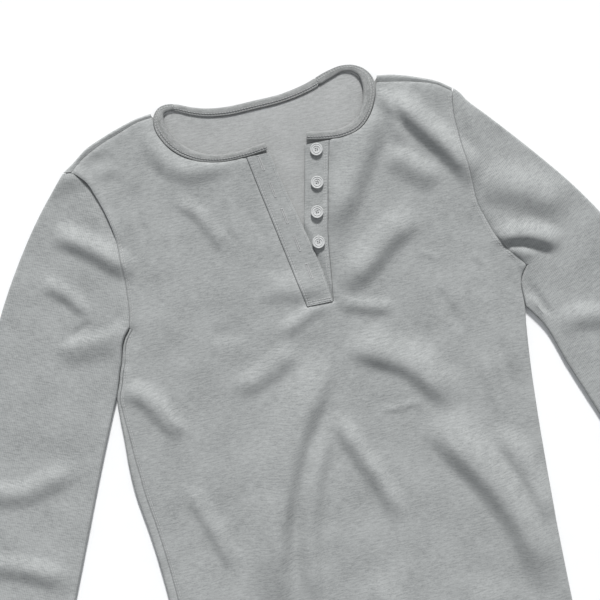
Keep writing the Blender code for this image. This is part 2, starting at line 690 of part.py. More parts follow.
def make_strip(name, columns, levels, drop, material):
    """A placket strip across its columns at each level, lowered where it is tucked under.

    Returns a search tree of its upper face, for what is sewn on it.
    """
    cloth = Cloth()
    grid = []
    for xs, y in zip(columns, levels):
        heights = top_height([(x, y) for x in xs]) + STRIP_PROUD
        grid.append([cloth.point((x, y, z - drop(x, y)), (x, y, z - drop(x, y) - STRIP_THICK))
                     for x, z in zip(xs, heights)])
    for a, b in zip(grid, grid[1:]):
        for k in range(len(a) - 1):
            cloth.face([a[k], b[k], b[k + 1], a[k + 1]])
    cloth.solid(name, material)
    return BVHTree.FromPolygons(cloth.outer, cloth.faces)


def make_plackets(plan, material):
    """The buttonhole strip on top and the button strip, which passes under it at the foot.

    Returns the button strip's upper face, for its buttons.
    """
    hole_outer, levels, hole_inner, button_inner, button_outer = plan.placket.T

    def tuck_drop(x, y):
        past_edge = x - np.interp(-y, -levels, hole_inner) - TUCK_CLEAR
        return TUCK_DROP * np.clip(1 - past_edge / TUCK_RUN, 0, 1)

    columns = np.transpose([lerp(hole_outer, hole_inner, k / 3) for k in range(4)])
    make_strip("placket_buttonhole", columns, levels, lambda x, y: 0.0, material)
    tucked = np.clip(
        hole_inner + TUCK_CLEAR, button_inner + TUCKED_EDGE, button_outer - 1.2 * TUCKED_EDGE)
    clear = np.minimum(tucked + TUCK_RUN, button_outer - TUCKED_EDGE / 2)
    creases = [lerp(clear, button_outer, share) for share in BUTTON_STRIP_CREASES]
    columns = np.transpose([button_inner, tucked, clear, *creases, button_outer])
    return make_strip("placket_button", columns, levels, tuck_drop, material)


def button_level(strip, x, y):
    """The highest point of the strip under a button."""
    tops = []
    for share in BUTTON_SEAT_RINGS:
        for k in range(BUTTON_SIDES):
            angle = 2 * math.pi * k / BUTTON_SIDES
            above = Vector((x + share * BUTTON_RADIUS * math.cos(angle),
                            y + share * BUTTON_RADIUS * math.sin(angle), SKY))
            hit = strip.ray_cast(above, Vector((0, 0, -1)))[0]
            if hit is not None:
                tops.append(hit.z)
    return max(tops)


def make_button(number, x, y, strip, material):
    """A round button with a raised rim and a dished middle, seated on its strip."""
    base = button_level(strip, x, y) + SEAM_GAP
    points, faces = [], []
    for inset, height in BUTTON_PROFILE:
        radius = BUTTON_RADIUS - inset
        for k in range(BUTTON_SIDES):
            angle = 2 * math.pi * k / BUTTON_SIDES
            points.append((x + radius * math.cos(angle), y + radius * math.sin(angle),
                           base + height))
    for i in range(len(BUTTON_PROFILE) - 1):
        for k in range(BUTTON_SIDES):
            a, b = i * BUTTON_SIDES + k, i * BUTTON_SIDES + (k + 1) % BUTTON_SIDES
            faces.append([a, b, b + BUTTON_SIDES, a + BUTTON_SIDES])
    faces.append(list(range(BUTTON_SIDES)))
    faces.append(list(range(len(points) - BUTTON_SIDES, len(points))))
    return make_solid(f"button_{number}", points, faces, material)


def main():
    for old in list(bpy.data.objects):
        bpy.data.objects.remove(old)
    knit = make_material("grey melange knit")
    knit_inside = make_material("grey melange knit, inside")
    binding = make_material("grey melange binding")
    button = make_material("grey button")

    plan = Plan()
    guides = crest_points()
    make_front(plan, guides, knit)
    make_back(plan, knit_inside)
    make_sleeve("sleeve_left", plan.sleeve_armhole_left, plan.sleeve_left_outer,
                plan.sleeve_left_inner, 1.0, INTO_SLEEVE_LEFT, guides, knit)
    make_sleeve("sleeve_right", plan.sleeve_armhole_right, plan.sleeve_right_outer,
                plan.sleeve_right_inner, -1.0, INTO_SLEEVE_RIGHT, guides, knit)
    make_band(binding)
    strip = make_plackets(plan, knit)
    for number, (x, y) in enumerate(BUTTONS, start=1):
        make_button(number, x, y, strip, button)


main()
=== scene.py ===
# %% [markdown]
# # A knitted henley top, laid flat
#
# The real garment is a fine grey melange jersey top with long sleeves. It lies on its back
# on a pale surface, under light that comes low from the neck end, so that every fold shows.
# This lesson rebuilds it around a imported CAD frame: each cut piece becomes a thin sheet with
# its folds laid one by one, and the seams, stitches and buttons are added last.
#
# All tables are in millimetres from the middle of the neck: x to the right, y up towards the
# neck, so places on the body have a negative y. The frame's origin is 300 mm below the neck.

# %% Load the frame
import json
import math

import bmesh
import bpy
import numpy as np
from mathutils import Matrix, Vector, kdtree, noise
from mathutils.geometry import delaunay_2d_cdt

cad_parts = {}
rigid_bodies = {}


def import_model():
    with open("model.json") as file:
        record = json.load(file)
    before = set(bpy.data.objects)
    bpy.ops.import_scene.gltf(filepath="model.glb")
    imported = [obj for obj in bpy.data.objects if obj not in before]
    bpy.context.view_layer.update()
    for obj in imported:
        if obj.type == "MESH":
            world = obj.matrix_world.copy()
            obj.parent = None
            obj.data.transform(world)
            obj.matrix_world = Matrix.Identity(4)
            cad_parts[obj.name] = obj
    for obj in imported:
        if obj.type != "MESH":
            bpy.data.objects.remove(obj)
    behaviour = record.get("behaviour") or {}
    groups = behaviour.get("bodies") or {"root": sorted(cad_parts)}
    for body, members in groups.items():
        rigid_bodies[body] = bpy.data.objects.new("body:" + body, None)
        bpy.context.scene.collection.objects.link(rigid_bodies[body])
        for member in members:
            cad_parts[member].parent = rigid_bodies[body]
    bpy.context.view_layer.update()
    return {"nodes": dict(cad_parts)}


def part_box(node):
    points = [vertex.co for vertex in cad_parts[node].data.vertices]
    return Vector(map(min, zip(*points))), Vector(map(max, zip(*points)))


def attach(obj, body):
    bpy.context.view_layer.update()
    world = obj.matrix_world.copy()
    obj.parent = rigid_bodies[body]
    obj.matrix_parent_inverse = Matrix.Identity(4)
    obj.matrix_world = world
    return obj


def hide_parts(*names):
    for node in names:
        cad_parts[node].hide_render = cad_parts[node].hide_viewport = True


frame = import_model()
MM = 0.001
NECK_TO_ORIGIN = 300.0
print("CAD nodes:", ", ".join(sorted(frame["nodes"])))

# %% [markdown]
# ## Camera, light and floor
#
# The photograph looks straight down, with the garment turned 12 degrees anticlockwise in the
# picture. A long lens at a good distance keeps the sleeves from spreading. The key light is a
# sun, because it must rake over the whole garment evenly: it stands 33 degrees high beyond
# the neck. A dim pale sky fills the shadows, as a room does.

# %% Camera, light and floor
VIEW_CENTRE = (-6.6, -188.1)
VIEW_WIDTH = 552.0
VIEW_TURN = -12.0
LENS = 100.0
FILM = 36.0
SUN_FROM = (0.21, 0.98)
SUN_HEIGHT = 33.0
SUN_POWER = 4.4
SUN_SPREAD = 9.0
SKY_POWER = 0.42
TABLE_SIZE = 3.0
TABLE_BELOW_CLOTH = 0.0005


def row_point(x, y, z):
    """A point of the tables as a place in the row frame, in metres."""
    return Vector((x * MM, (y + NECK_TO_ORIGIN) * MM, z * MM))


camera_data = bpy.data.cameras.new("camera")
camera_data.lens = LENS
camera_data.sensor_width = FILM
camera = bpy.data.objects.new("camera", camera_data)
camera.location = row_point(*VIEW_CENTRE, VIEW_WIDTH * LENS / FILM)
camera.rotation_euler = (0.0, 0.0, math.radians(VIEW_TURN))
bpy.context.collection.objects.link(camera)
bpy.context.scene.camera = camera

sun_data = bpy.data.lights.new("key", "SUN")
sun_data.energy = SUN_POWER
sun_data.angle = math.radians(SUN_SPREAD)
sun = bpy.data.objects.new("key", sun_data)
height = math.tan(math.radians(SUN_HEIGHT))
sun.rotation_euler = Vector((*SUN_FROM, height)).to_track_quat("Z", "Y").to_euler()
bpy.context.collection.objects.link(sun)

world = bpy.data.worlds.new("room")
world.use_nodes = True
world.node_tree.nodes["Background"].inputs["Color"].default_value = (0.93, 0.96, 1.0, 1.0)
world.node_tree.nodes["Background"].inputs["Strength"].default_value = SKY_POWER
bpy.context.scene.world = world
bpy.context.scene.view_settings.view_transform = "Standard"

bpy.ops.object.select_all(action="DESELECT")
bpy.ops.mesh.primitive_plane_add(size=TABLE_SIZE, location=(0.0, 0.0, -TABLE_BELOW_CLOTH))
floor = bpy.context.active_object
floor.name = "table"
print("Camera distance:", round(camera.location.z, 3), "m")

# %% [markdown]
# ## Shader maths in plain expressions
#
# A node tree is easier to read as sums. `Signal` wraps one output socket, and arithmetic on
# it adds the Math nodes. `Shader.node` adds any other node: its settings come first and then
# the values or links of its inputs.

# %% Shader helpers


class Signal:
    """An output socket that can be used in arithmetic."""

    def __init__(self, shader, socket):
        self.shader = shader
        self.socket = socket

    def __add__(self, other):
        return self.shader.maths("ADD", self, other)

    __radd__ = __add__

    def __sub__(self, other):
        return self.shader.maths("SUBTRACT", self, other)

    def __rsub__(self, other):
        return self.shader.maths("SUBTRACT", other, self)

    def __mul__(self, other):
        return self.shader.maths("MULTIPLY", self, other)

    __rmul__ = __mul__


class Shader:
    """A material and the nodes that are added to it."""

    def __init__(self, name):
        self.material = bpy.data.materials.new(name)
        self.material.use_nodes = True
        self.nodes = self.material.node_tree.nodes
        self.links = self.material.node_tree.links
        self.surface = self.nodes["Principled BSDF"]

    def set(self, socket, value):
        if isinstance(value, Signal):
            self.links.new(value.socket, socket)
        else:
            socket.default_value = value

    def node(self, kind, settings, inputs, output=0):
        node = self.nodes.new(kind)
        for name, value in settings.items():
            setattr(node, name, value)
        for name, value in inputs.items():
            self.set(node.inputs[name], value)
        return Signal(self, node.outputs[output])

    def maths(self, operation, a, b=0.0):
        return self.node("ShaderNodeMath", {"operation": operation}, {0: a, 1: b})

    def stretched(self, place, scales):
        """The place vector with its axes scaled on their own."""
        settings = {"operation": "MULTIPLY"}
        return self.node("ShaderNodeVectorMath", settings, {0: place, 1: scales})

    def noise(self, place, scales, detail=2.0, roughness=0.5):
        inputs = {"Vector": self.stretched(place, scales), "Scale": 1.0, "Detail": detail,
                  "Roughness": roughness}
        return self.node("ShaderNodeTexNoise", {}, inputs)

    def colours(self, factor, dark, light):
        inputs = {"Factor": factor, 6: (*dark, 1.0), 7: (*light, 1.0)}
        return self.node("ShaderNodeMix", {"data_type": "RGBA", "clamp_factor": True}, inputs, 2)

    def finish(self, colour, roughness, **constants):
        self.set(self.surface.inputs["Base Color"], colour)
        self.set(self.surface.inputs["Roughness"], roughness)
        for name, value in constants.items():
            self.surface.inputs[name.replace("_", " ")].default_value = value
        return self.material


print("Shader helpers are ready")

# %% [markdown]
# ## The melange jersey
#
# Melange yarn is spun from light and dark fibres, so the colour changes along each course
# in short streaks. On the face of jersey the loops stand in columns of small V shapes, the
# wales; on the inside they show as low waves across. Both are drawn from a UV map named
# knit, which holds the place on the flat cut in metres, so the loops follow the grain.

# %% Knit materials
WALE = 0.00083
COURSE = 0.00068
STREAK = (1 / 0.0075, 1 / 0.0013, 1.0)
FIBRE = (1 / 0.0019, 1 / 0.00055, 1.0)
CLOUD = (1 / 0.045, 1 / 0.030, 1.0)
LOOP_DEPTH = 0.00022


def knit(name, dark, light, inside=False, wale_lines=0.0):
    """Melange jersey: streaked colour, loops as bump, and painted shade between the loops."""
    shader = Shader(name)
    place = shader.node("ShaderNodeUVMap", {"uv_map": "knit"}, {})
    across = shader.node("ShaderNodeSeparateXYZ", {}, {"Vector": place}, 0)
    along = shader.node("ShaderNodeSeparateXYZ", {}, {"Vector": place}, 1)
    turn = 2 * math.pi
    column = shader.maths("SINE", across * (turn / WALE))
    lean = shader.maths("ABSOLUTE", column) * 0.9
    if inside:
        loops = shader.maths("SINE", along * (turn / COURSE) + column * 0.8) * 0.5
    else:
        loops = shader.maths("SINE", along * (turn / COURSE) + lean) * 0.35 + lean * 0.7
    streaks = shader.noise(place, STREAK, detail=3.0, roughness=0.6)
    fibres = shader.noise(place, FIBRE, detail=2.0, roughness=0.6)
    clouds = shader.noise(place, CLOUD, detail=3.0)
    blend = streaks * 1.7 + fibres * 1.5 + clouds * 0.9 - 1.55
    if wale_lines:
        blend = blend + shader.maths("SINE", across * (turn / (2 * WALE))) * wale_lines
    # The loop relief also tints the colour a little: painted shade between the loops, lighter on
    # their tops.
    colour = shader.colours(blend + loops * 0.12, dark, light)
    bump = shader.node("ShaderNodeBump", {}, {
        "Strength": 0.55, "Distance": LOOP_DEPTH, "Height": loops + fibres * 0.8})
    shader.set(shader.surface.inputs["Normal"], bump)
    return shader.finish(colour, 0.95, Specular_IOR_Level=0.15, Sheen_Weight=0.08)


face_knit = knit("grey melange jersey", (0.235, 0.243, 0.240), (0.42, 0.43, 0.425))
sleeve_knit = knit("grey melange jersey, sleeves", (0.235, 0.243, 0.240),
                   (0.42, 0.43, 0.425), wale_lines=0.16)
inside_knit = knit("grey melange jersey, inside", (0.31, 0.315, 0.31),
                   (0.47, 0.475, 0.47), inside=True)
binding_knit = knit("grey melange binding", (0.20, 0.205, 0.20), (0.37, 0.375, 0.37))
print("Jersey materials:", 4)

# %% [markdown]
# ## Thread, button and table finishes
#
# Sewing thread is a little lighter than the jersey and has a soft shine. The buttons are
# satin pressed plastic with faint clouding. The table is a plain pale board.

# %% Thread, button and table materials


def thread(name, colour):
    shader = Shader(name)
    place = shader.node("ShaderNodeTexCoord", {}, {}, 3)
    twist = shader.noise(place, (2600.0, 2600.0, 2600.0), detail=1.0)
    # The twist also sets the colour: painted shade, 0.72 of the thread colour, in the twist's
    # hollows, full colour on its ridges.
    dark = tuple(0.72 * part for part in colour)
    bump = shader.node("ShaderNodeBump", {}, {
        "Strength": 0.4, "Distance": 0.0001, "Height": twist})
    shader.set(shader.surface.inputs["Normal"], bump)
    return shader.finish(shader.colours(twist * 1.6 - 0.3, dark, colour), 0.7)


def pressed_plastic(name, dark, light):
    shader = Shader(name)
    place = shader.node("ShaderNodeTexCoord", {}, {}, 3)
    cloud = shader.noise(place, (420.0, 420.0, 420.0), detail=3.0)
    grain = shader.noise(place, (5200.0, 5200.0, 5200.0), detail=1.0)
    bump = shader.node("ShaderNodeBump", {}, {
        "Strength": 0.15, "Distance": 0.00005, "Height": grain})
    shader.set(shader.surface.inputs["Normal"], bump)
    return shader.finish(shader.colours(cloud * 2.0 - 0.5, dark, light), cloud * 0.2 + 0.28)


light_thread = thread("light grey thread", (0.56, 0.565, 0.56))
button_plastic = pressed_plastic("grey satin plastic", (0.45, 0.455, 0.45), (0.60, 0.605, 0.60))
table_shader = Shader("pale board")
table_place = table_shader.node("ShaderNodeTexCoord", {}, {}, 3)
table_grain = table_shader.noise(table_place, (60.0, 60.0, 60.0), detail=2.0)
floor.data.materials.append(table_shader.finish(
    table_shader.colours(table_grain, (0.86, 0.86, 0.86), (0.89, 0.89, 0.89)), 0.8))
print("Thread, plastic and table materials are ready")

# %% [markdown]
# ## Lines and distances
#
# Every seam and fold is a smooth line through a few measured points. The helpers sample such
# a line, move it sideways, and find how far any point lies from it and on which side.

# %% Line helpers


def lerp(a, b, share):
    return a + (b - a) * share


def smooth_line(points, step):
    """A smooth line through the points, cut into pieces of about one step, ends kept."""
    points = np.asarray(points, float)
    chords = np.linalg.norm(np.diff(points[:, :2], axis=0), axis=1)
    slopes = np.diff(points, axis=0) / chords[:, None]
    tangents = np.vstack([slopes[:1], slopes[-1:]]) if len(points) == 2 else np.vstack([
        slopes[:1],
        (slopes[:-1] * chords[1:, None] + slopes[1:] * chords[:-1, None])
        / (chords[:-1] + chords[1:])[:, None],
        slopes[-1:],
    ])
    line = [points[0]]
    for i, chord in enumerate(chords):
        pieces = max(1, round(chord / step))
        for t in np.arange(1, pieces + 1) / pieces:
            line.append(
                (2 * t**3 - 3 * t**2 + 1) * points[i] + (3 * t**2 - 2 * t**3) * points[i + 1]
                + (t**3 - 2 * t**2 + t) * chord * tangents[i]
                + (t**3 - t**2) * chord * tangents[i + 1])
    return np.array(line)


def left_normals(line):
    """Unit normals to the left of the line of travel, one for each point."""
    steps = np.gradient(line[:, :2], axis=0)
    steps /= np.linalg.norm(steps, axis=1)[:, None]
    return np.column_stack([-steps[:, 1], steps[:, 0]])


def beside(line, distance):
    """The line moved sideways: to the left for a positive distance."""
    return line[:, :2] + left_normals(line) * distance


def nearest_on_line(points, line):
    """Distance to the line, side of it (+1 left) and share of its length, for each point."""
    starts, ends = line[:-1], line[1:]
    runs = ends - starts
    lengths = np.linalg.norm(runs, axis=1)
    gaps = points[:, None, :] - starts[None]
    along = np.clip((gaps * runs[None]).sum(2) / (lengths**2)[None], 0.0, 1.0)
    offsets = gaps - along[..., None] * runs[None]
    distances = np.linalg.norm(offsets, axis=2)
    best = distances.argmin(1)
    rows = np.arange(len(points))
    run, offset = runs[best], offsets[rows, best]
    side = np.sign(run[:, 0] * offset[:, 1] - run[:, 1] * offset[:, 0])
    before = np.concatenate([[0.0], np.cumsum(lengths)])
    share = (before[best] + along[rows, best] * lengths[best]) / before[-1]
    return distances[rows, best], side, share


print("A test line has", len(smooth_line([(0, 0), (10, 0), (20, 5)], 2.0)), "points")

# %% [markdown]
# ## Where the seams run
#
# These are the lines that the pieces are cut and sewn along, as the garment lies: the folds
# at the sides, the armholes, the sleeve edges and the forward shoulder seams.

# %% Seam tables
WALL = 1.2
SEAM_GAP = 0.3
UNDERARM_GAP = 0.18
ROLL_REACH = 2.0
LOWEST_TOP = 3.3
PLAIN_TOP = 4.4
SPACING = 3.2
FLOOR_SPACING = 26.0
SEAM_STEP = 3.0
EDGE_STEP = 4.5
NECK_STEP = 3.0
CREST_LINE_STEP = 6.0
ROLL_ANGLES = (0.0, 25.0, 50.0, 70.0, 90.0, 110.0, 135.0, 180.0)
END_TURN = 14.0
BAND_THICK = 3.4
BAND_STEP = 2.4
STRIP_THICK = 2.0
STRIP_PROUD = 0.3
STRIP_STEP = 3.0
TUCK_CLEAR = 0.5
TUCK_RUN = 2.5
TUCK_DROP = 2.4
HEM_Y = -600.0
# Seam and edge lines, each a smooth line through its points (x, y)
SIDE_LEFT = [
    (-182.0, HEM_Y), (-180.0, -520.0), (-180.6, -450.0), (-183.0, -400.0), (-185.4, -373.3),
    (-191.4, -324.0), (-191.8, -300.0), (-190.9, -277.4), (-190.7, -255.0),
]
UNDERARM_LEFT = [
    (-189.8, -241.0), (-185.6, -230.0), (-181.6, -217.5), (-178.4, -209.5), (-175.8, -199.0),
    (-171.6, -189.0), (-165.0, -181.0),
]
ARMHOLE_LEFT = [
    (-195.5, -29.6), (-187.6, -30.7), (-181.0, -36.0), (-175.5, -42.9), (-170.4, -56.0),
    (-166.2, -68.8), (-161.5, -89.9), (-160.0, -107.0), (-159.9, -125.5), (-161.1, -155.3),
    (-162.5, -168.5), (-165.2, -180.3),
]
SLEEVE_LEFT_OUTER = [
    (-195.9, -29.8), (-224.0, -62.0), (-254.0, -104.0), (-282.0, -152.0), (-304.0, -200.0),
    (-323.0, -255.0), (-343.0, -321.0), (-376.0, -432.0), (-403.0, -557.0),
]
SLEEVE_LEFT_INNER = [
    (-193.6, -249.0), (-210.5, -286.5), (-242.4, -361.2), (-285.0, -465.0), (-322.0, -585.0),
]
SIDE_RIGHT = [
    (182.0, HEM_Y), (181.0, -540.0), (181.0, -480.0), (182.0, -420.0), (183.5, -380.0),
    (184.9, -345.4), (186.1, -323.8), (187.9, -295.7), (190.5, -267.6), (192.3, -252.0),
]
UNDERARM_RIGHT = [
    (194.6, -236.5), (194.9, -230.0), (194.9, -222.0), (195.4, -215.0), (196.9, -210.0),
    (200.2, -204.5), (204.0, -199.9),
]
ARMHOLE_RIGHT = [
    (171.6, -26.8), (169.4, -33.0), (167.9, -42.0), (167.0, -52.0), (167.6, -65.0),
    (168.4, -81.0), (170.0, -100.0), (170.6, -115.0), (171.9, -135.8), (176.2, -150.7),
    (181.4, -166.9), (185.9, -176.5), (194.2, -188.0), (203.8, -199.3),
]
SLEEVE_RIGHT_OUTER = [
    (171.9, -27.1), (176.6, -32.3), (180.5, -39.0), (196.5, -57.5), (216.7, -81.1),
    (236.7, -105.4), (265.0, -143.0), (296.0, -195.0), (325.0, -260.0), (352.0, -335.0),
    (380.0, -430.0), (407.0, -535.0),
]
SLEEVE_RIGHT_INNER = [
    (198.0, -241.5), (205.5, -252.5), (221.0, -295.0), (246.0, -362.0), (281.0, -460.0),
    (322.0, -562.0),
]

# Forward seams: the fold on the outline, and the seam that it ends in, station by station
SHOULDER_LEFT = [
    # fold x, fold y, seam x, seam y
    (-105.3, 7.8, -105.2, 4.3), (-116.4, 6.5, -118.0, 2.9), (-134.2, 1.9, -135.4, -2.9),
    (-152.3, -4.3, -153.5, -9.2), (-170.8, -12.1, -171.6, -17.8), (-184.7, -22.2, -181.8, -25.0),
    (-194.9, -28.9, -187.5, -29.9),
]
SHOULDER_RIGHT = [
    (105.2, -0.9, 104.3, -6.7), (117.6, -2.8, 116.6, -9.0), (139.6, -9.5, 138.4, -13.8),
    (159.5, -18.2, 158.2, -20.8), (170.8, -26.5, 169.3, -28.7),
]
LIP_LEFT = [
    # y, width of the strip of back panel that shows beside the side fold
    (HEM_Y, 8.5), (-375.0, 7.6), (-317.0, 8.0), (-268.0, 4.2), (-245.0, 2.7), (-180.0, 2.6),
]

# Neck band, from the left of the placket around the neck to its right
NECK_BAND = [
    # centre x, centre y, width, height of the centre
    (-7.6, -43.6, 7.4, 5.4), (-29.0, -46.0, 6.8, 5.2), (-52.0, -45.6, 7.0, 5.0),
    (-70.0, -40.4, 8.0, 4.8), (-85.0, -30.4, 9.6, 4.7), (-95.2, -17.2, 10.6, 4.6),
    (-99.4, -4.0, 10.4, 4.5), (-98.7, 3.2, 9.4, 4.2), (-95.6, 8.0, 7.6, 3.4),
    (-90.0, 9.8, 6.6, 2.5), (-82.0, 8.4, 6.6, 1.8), (-70.0, 3.2, 7.0, 1.7),
    (-58.0, -1.0, 7.6, 1.7), (-40.0, -4.0, 8.0, 1.7), (-10.0, -4.0, 8.0, 1.7),
    (16.0, -3.0, 7.8, 1.7), (40.0, 1.4, 8.0, 1.7), (63.0, 9.0, 7.8, 1.7),
    (75.0, 11.8, 6.2, 1.8), (84.5, 10.2, 6.4, 2.4), (91.8, 4.8, 8.4, 3.4),
    (95.7, -3.4, 11.2, 4.2), (96.0, -10.0, 11.6, 4.5), (93.4, -20.5, 10.8, 4.7),
    (87.3, -32.2, 10.4, 4.8), (78.2, -41.2, 9.6, 4.9), (63.0, -45.6, 8.0, 5.1),
    (47.0, -44.8, 7.6, 5.3), (30.6, -42.0, 7.2, 5.4),
]
BAND_LEFT_ROWS = (0, 8)
BAND_RIGHT_ROWS = (20, 29)
BACK_NECK = [
    (-105.4, 3.4), (-98.0, 1.0), (-90.5, 4.2), (-82.0, 3.4), (-71.0, -1.4), (-59.0, -5.8),
    (-40.0, -8.4), (-10.0, -8.4), (16.0, -7.4), (40.0, -3.2), (62.0, 4.4), (74.0, 7.8),
    (83.0, 5.8), (90.0, -1.0), (98.0, -6.0), (104.9, -5.6),
]

# Placket strips: their four edges at each level, the buttonhole strip on the left
PLACKET = [
    # buttonhole strip outer x, y, its inner x, button strip inner x, its outer x
    (-27.5, -50.0, -6.0, 27.2, 50.1), (-22.4, -80.0, -0.2, 20.6, 42.8),
    (-18.9, -99.0, 4.1, 16.6, 38.4), (-16.2, -113.9, 7.9, 13.0, 35.2),
    (-12.8, -133.1, 12.5, 8.8, 31.2), (-8.9, -154.7, 17.2, 5.6, 28.3),
    (-6.7, -166.8, 19.4, 4.4, 26.9), (-1.5, -195.3, 22.6, 0.6, 23.1),
]
BUTTONS = [(36.7, -56.3), (31.1, -86.0), (25.5, -112.5), (21.1, -139.8)]

# Where each sleeve's inner fold starts, under the arm, the way into its cloth
INTO_SLEEVE_LEFT = (-0.9, 0.42)
INTO_SLEEVE_RIGHT = (1.0, 0.0)
print("Seam and fold lines of the outline:", 10)

# %% [markdown]
# ## The folds
#
# A fold is a rounded ridge along a crest: its rise, how far it reaches to the left and to
# the right of the line of travel, and the crest itself. A negative rise is a trough. Fine
# creases come in a table of their own, and a few rows belong to one piece alone, where its
# edge stands over its neighbour at a seam.

# %% Fold tables
# Loft: where the upper cloth stands off the table, as round hills
LOFTS = [
    # x, y, reach across, reach along, rise
    (0.0, -230.0, 190.0, 260.0, 0.8),
    (10.0, -120.0, 62.0, 120.0, 1.4),
    (0.0, -45.0, 120.0, 34.0, 0.9),
]

# Folds of the upper cloth: rise of the crest, its reach to the left and to the right of the
# line of travel, and the crest itself. A negative rise is a trough.
FOLDS = [
    # name, rise, left reach, right reach, crest
    ("below placket", 9.5, 18.0, 34.0,
     [(14, -230), (4, -250), (-10, -273), (-30, -303), (-50, -342), (-70, -392), (-88, -480)]),
    ("second below placket", 6.0, 14.0, 16.0,
     [(-1, -292), (-12, -318), (-22, -340), (-32, -365), (-40, -392), (-52, -480)]),
    ("third below placket", 5.0, 13.0, 14.0,
     [(1, -292), (12, -320), (22, -345), (32, -368), (44, -410)]),
    ("right of foot", 6.5, 30.0, 16.0,
     [(28, -230), (38, -243), (50, -251), (65, -259), (80, -269), (92, -283), (116, -318)]),
    ("right hip", 9.0, 36.0, 19.0,
     [(78, -314), (95, -334), (106, -352), (118, -371), (131, -392), (150, -436), (160, -500)]),
    ("right side", 5.5, 20.0, 13.0,
     [(143, -336), (152, -356), (161, -378), (169, -400), (176, -440)]),
    ("foot to armhole", 7.0, 24.0, 17.0,
     [(30, -188), (50, -176), (66, -165), (82, -152), (100, -142), (118, -134)]),
    ("neck to placket", 8.0, 19.0, 22.0,
     [(97, -10), (94, -35), (84, -58), (73, -76), (60, -97), (47, -117), (34, -146)]),
    ("shoulder edge", 3.5, 6.0, 12.0,
     [(105, -6), (108, -25), (112.5, -43), (114.5, -53), (113, -74)]),
    ("shoulder to armhole", 9.0, 20.0, 14.0,
     [(106, -10), (119, -32), (132, -50), (146, -69), (158, -86), (167, -104), (172, -126)]),
    ("right chest", 4.5, 15.0, 19.0,
     [(96, -68), (112, -82), (126, -95), (142, -112)]),
    ("around neck left", 3.2, 14.0, 15.0,
     [(-112, 4), (-109, -22), (-98, -43), (-83, -52), (-62, -53), (-34, -52)]),
    ("left chest", 2.6, 12.0, 9.0,
     [(-102, -72), (-90, -84), (-79, -97), (-72, -112), (-67, -132)]),
    ("above foot", 3.0, 22.0, 16.0,
     [(-52, -170), (-30, -174), (-10, -178), (12, -181), (26, -181)]),
    ("left of foot", 2.8, 11.0, 11.0,
     [(-34, -219), (-14, -208), (8, -199), (22, -198)]),
    ("under foot right", 2.8, 10.0, 11.0,
     [(24, -197), (42, -203), (58, -208), (80, -212)]),
    ("left belly", 4.0, 17.0, 16.0,
     [(-84, -260), (-58, -250), (-38, -241), (-14, -229)]),
    ("left waist", 4.5, 17.0, 13.0,
     [(-188, -232), (-172, -241), (-160, -253), (-149, -272), (-136, -294)]),
    ("left hip", 3.0, 15.0, 10.0,
     [(-145, -330), (-137, -354), (-128, -380), (-116, -420)]),
    ("left underarm", -2.2, 9.0, 8.0,
     [(-160, -178), (-166, -192), (-172, -206), (-175, -222)]),
    ("left cap", 6.5, 17.0, 15.0,
     [(-222, -82), (-206, -88), (-190, -98), (-172, -113), (-160, -124), (-144, -132)]),
    ("left shoulder tip", 2.6, 12.0, 16.0,
     [(-216, -48), (-200, -36), (-184, -34), (-170, -30)]),
    ("left cap low", 3.5, 13.0, 11.0,
     [(-238, -124), (-222, -133), (-211, -146), (-203, -166)]),
    ("left underarm sleeve", 3.4, 11.0, 22.0,
     [(-240, -190), (-222, -188), (-200, -187), (-180, -184), (-160, -174)]),
    ("right cap edge", 2.6, 15.0, 9.0,
     [(177, -34), (181, -52), (181, -72), (178, -92), (174, -112)]),
    ("right sleeve upper", 6.0, 30.0, 24.0,
     [(168, -114), (188, -121), (208, -129), (232, -142), (256, -160)]),
    ("right sleeve lower", 7.5, 18.0, 10.0,
     [(176, -168), (190, -171), (204, -172), (218, -177), (240, -192)]),
    ("right underarm patch", 2.5, 6.0, 9.0,
     [(186, -182), (197, -185), (206, -189), (213, -196)]),
    ("right underarm pocket", -3.0, 7.0, 8.0,
     [(201, -200), (199, -210), (199, -220), (203, -230)]),
    ("left elbow high", 4.0, 15.0, 17.0,
     [(-342, -296), (-318, -304), (-292, -308), (-262, -302), (-236, -290)]),
    ("left elbow", 4.5, 15.0, 16.0,
     [(-372, -372), (-344, -368), (-318, -372), (-290, -384), (-262, -400)]),
    ("left forearm", 3.0, 14.0, 15.0,
     [(-392, -458), (-368, -464), (-346, -460), (-318, -448)]),
    ("left wrist", 2.2, 12.0, 14.0,
     [(-402, -520), (-380, -516), (-356, -522), (-334, -534)]),
    ("right elbow high", 4.2, 16.0, 17.0,
     [(214, -262), (240, -256), (266, -262), (294, -276), (322, -284)]),
    ("right elbow", 4.6, 15.0, 16.0,
     [(252, -352), (276, -346), (300, -352), (326, -366), (352, -370)]),
    ("right forearm", 3.2, 14.0, 15.0,
     [(284, -436), (308, -440), (334, -434), (362, -422)]),
    ("right wrist", 2.2, 12.0, 14.0,
     [(318, -512), (342, -518), (364, -512), (392, -502)]),
    ("hem left", 3.2, 20.0, 18.0,
     [(-150, -450), (-142, -490), (-136, -540), (-134, -620)]),
    ("hem middle", 4.5, 22.0, 20.0,
     [(10, -440), (16, -490), (18, -540), (22, -620)]),
    ("hem right", 3.5, 22.0, 18.0,
     [(98, -470), (104, -510), (108, -560), (112, -620)]),
]
TAPER_SHARE = 0.28

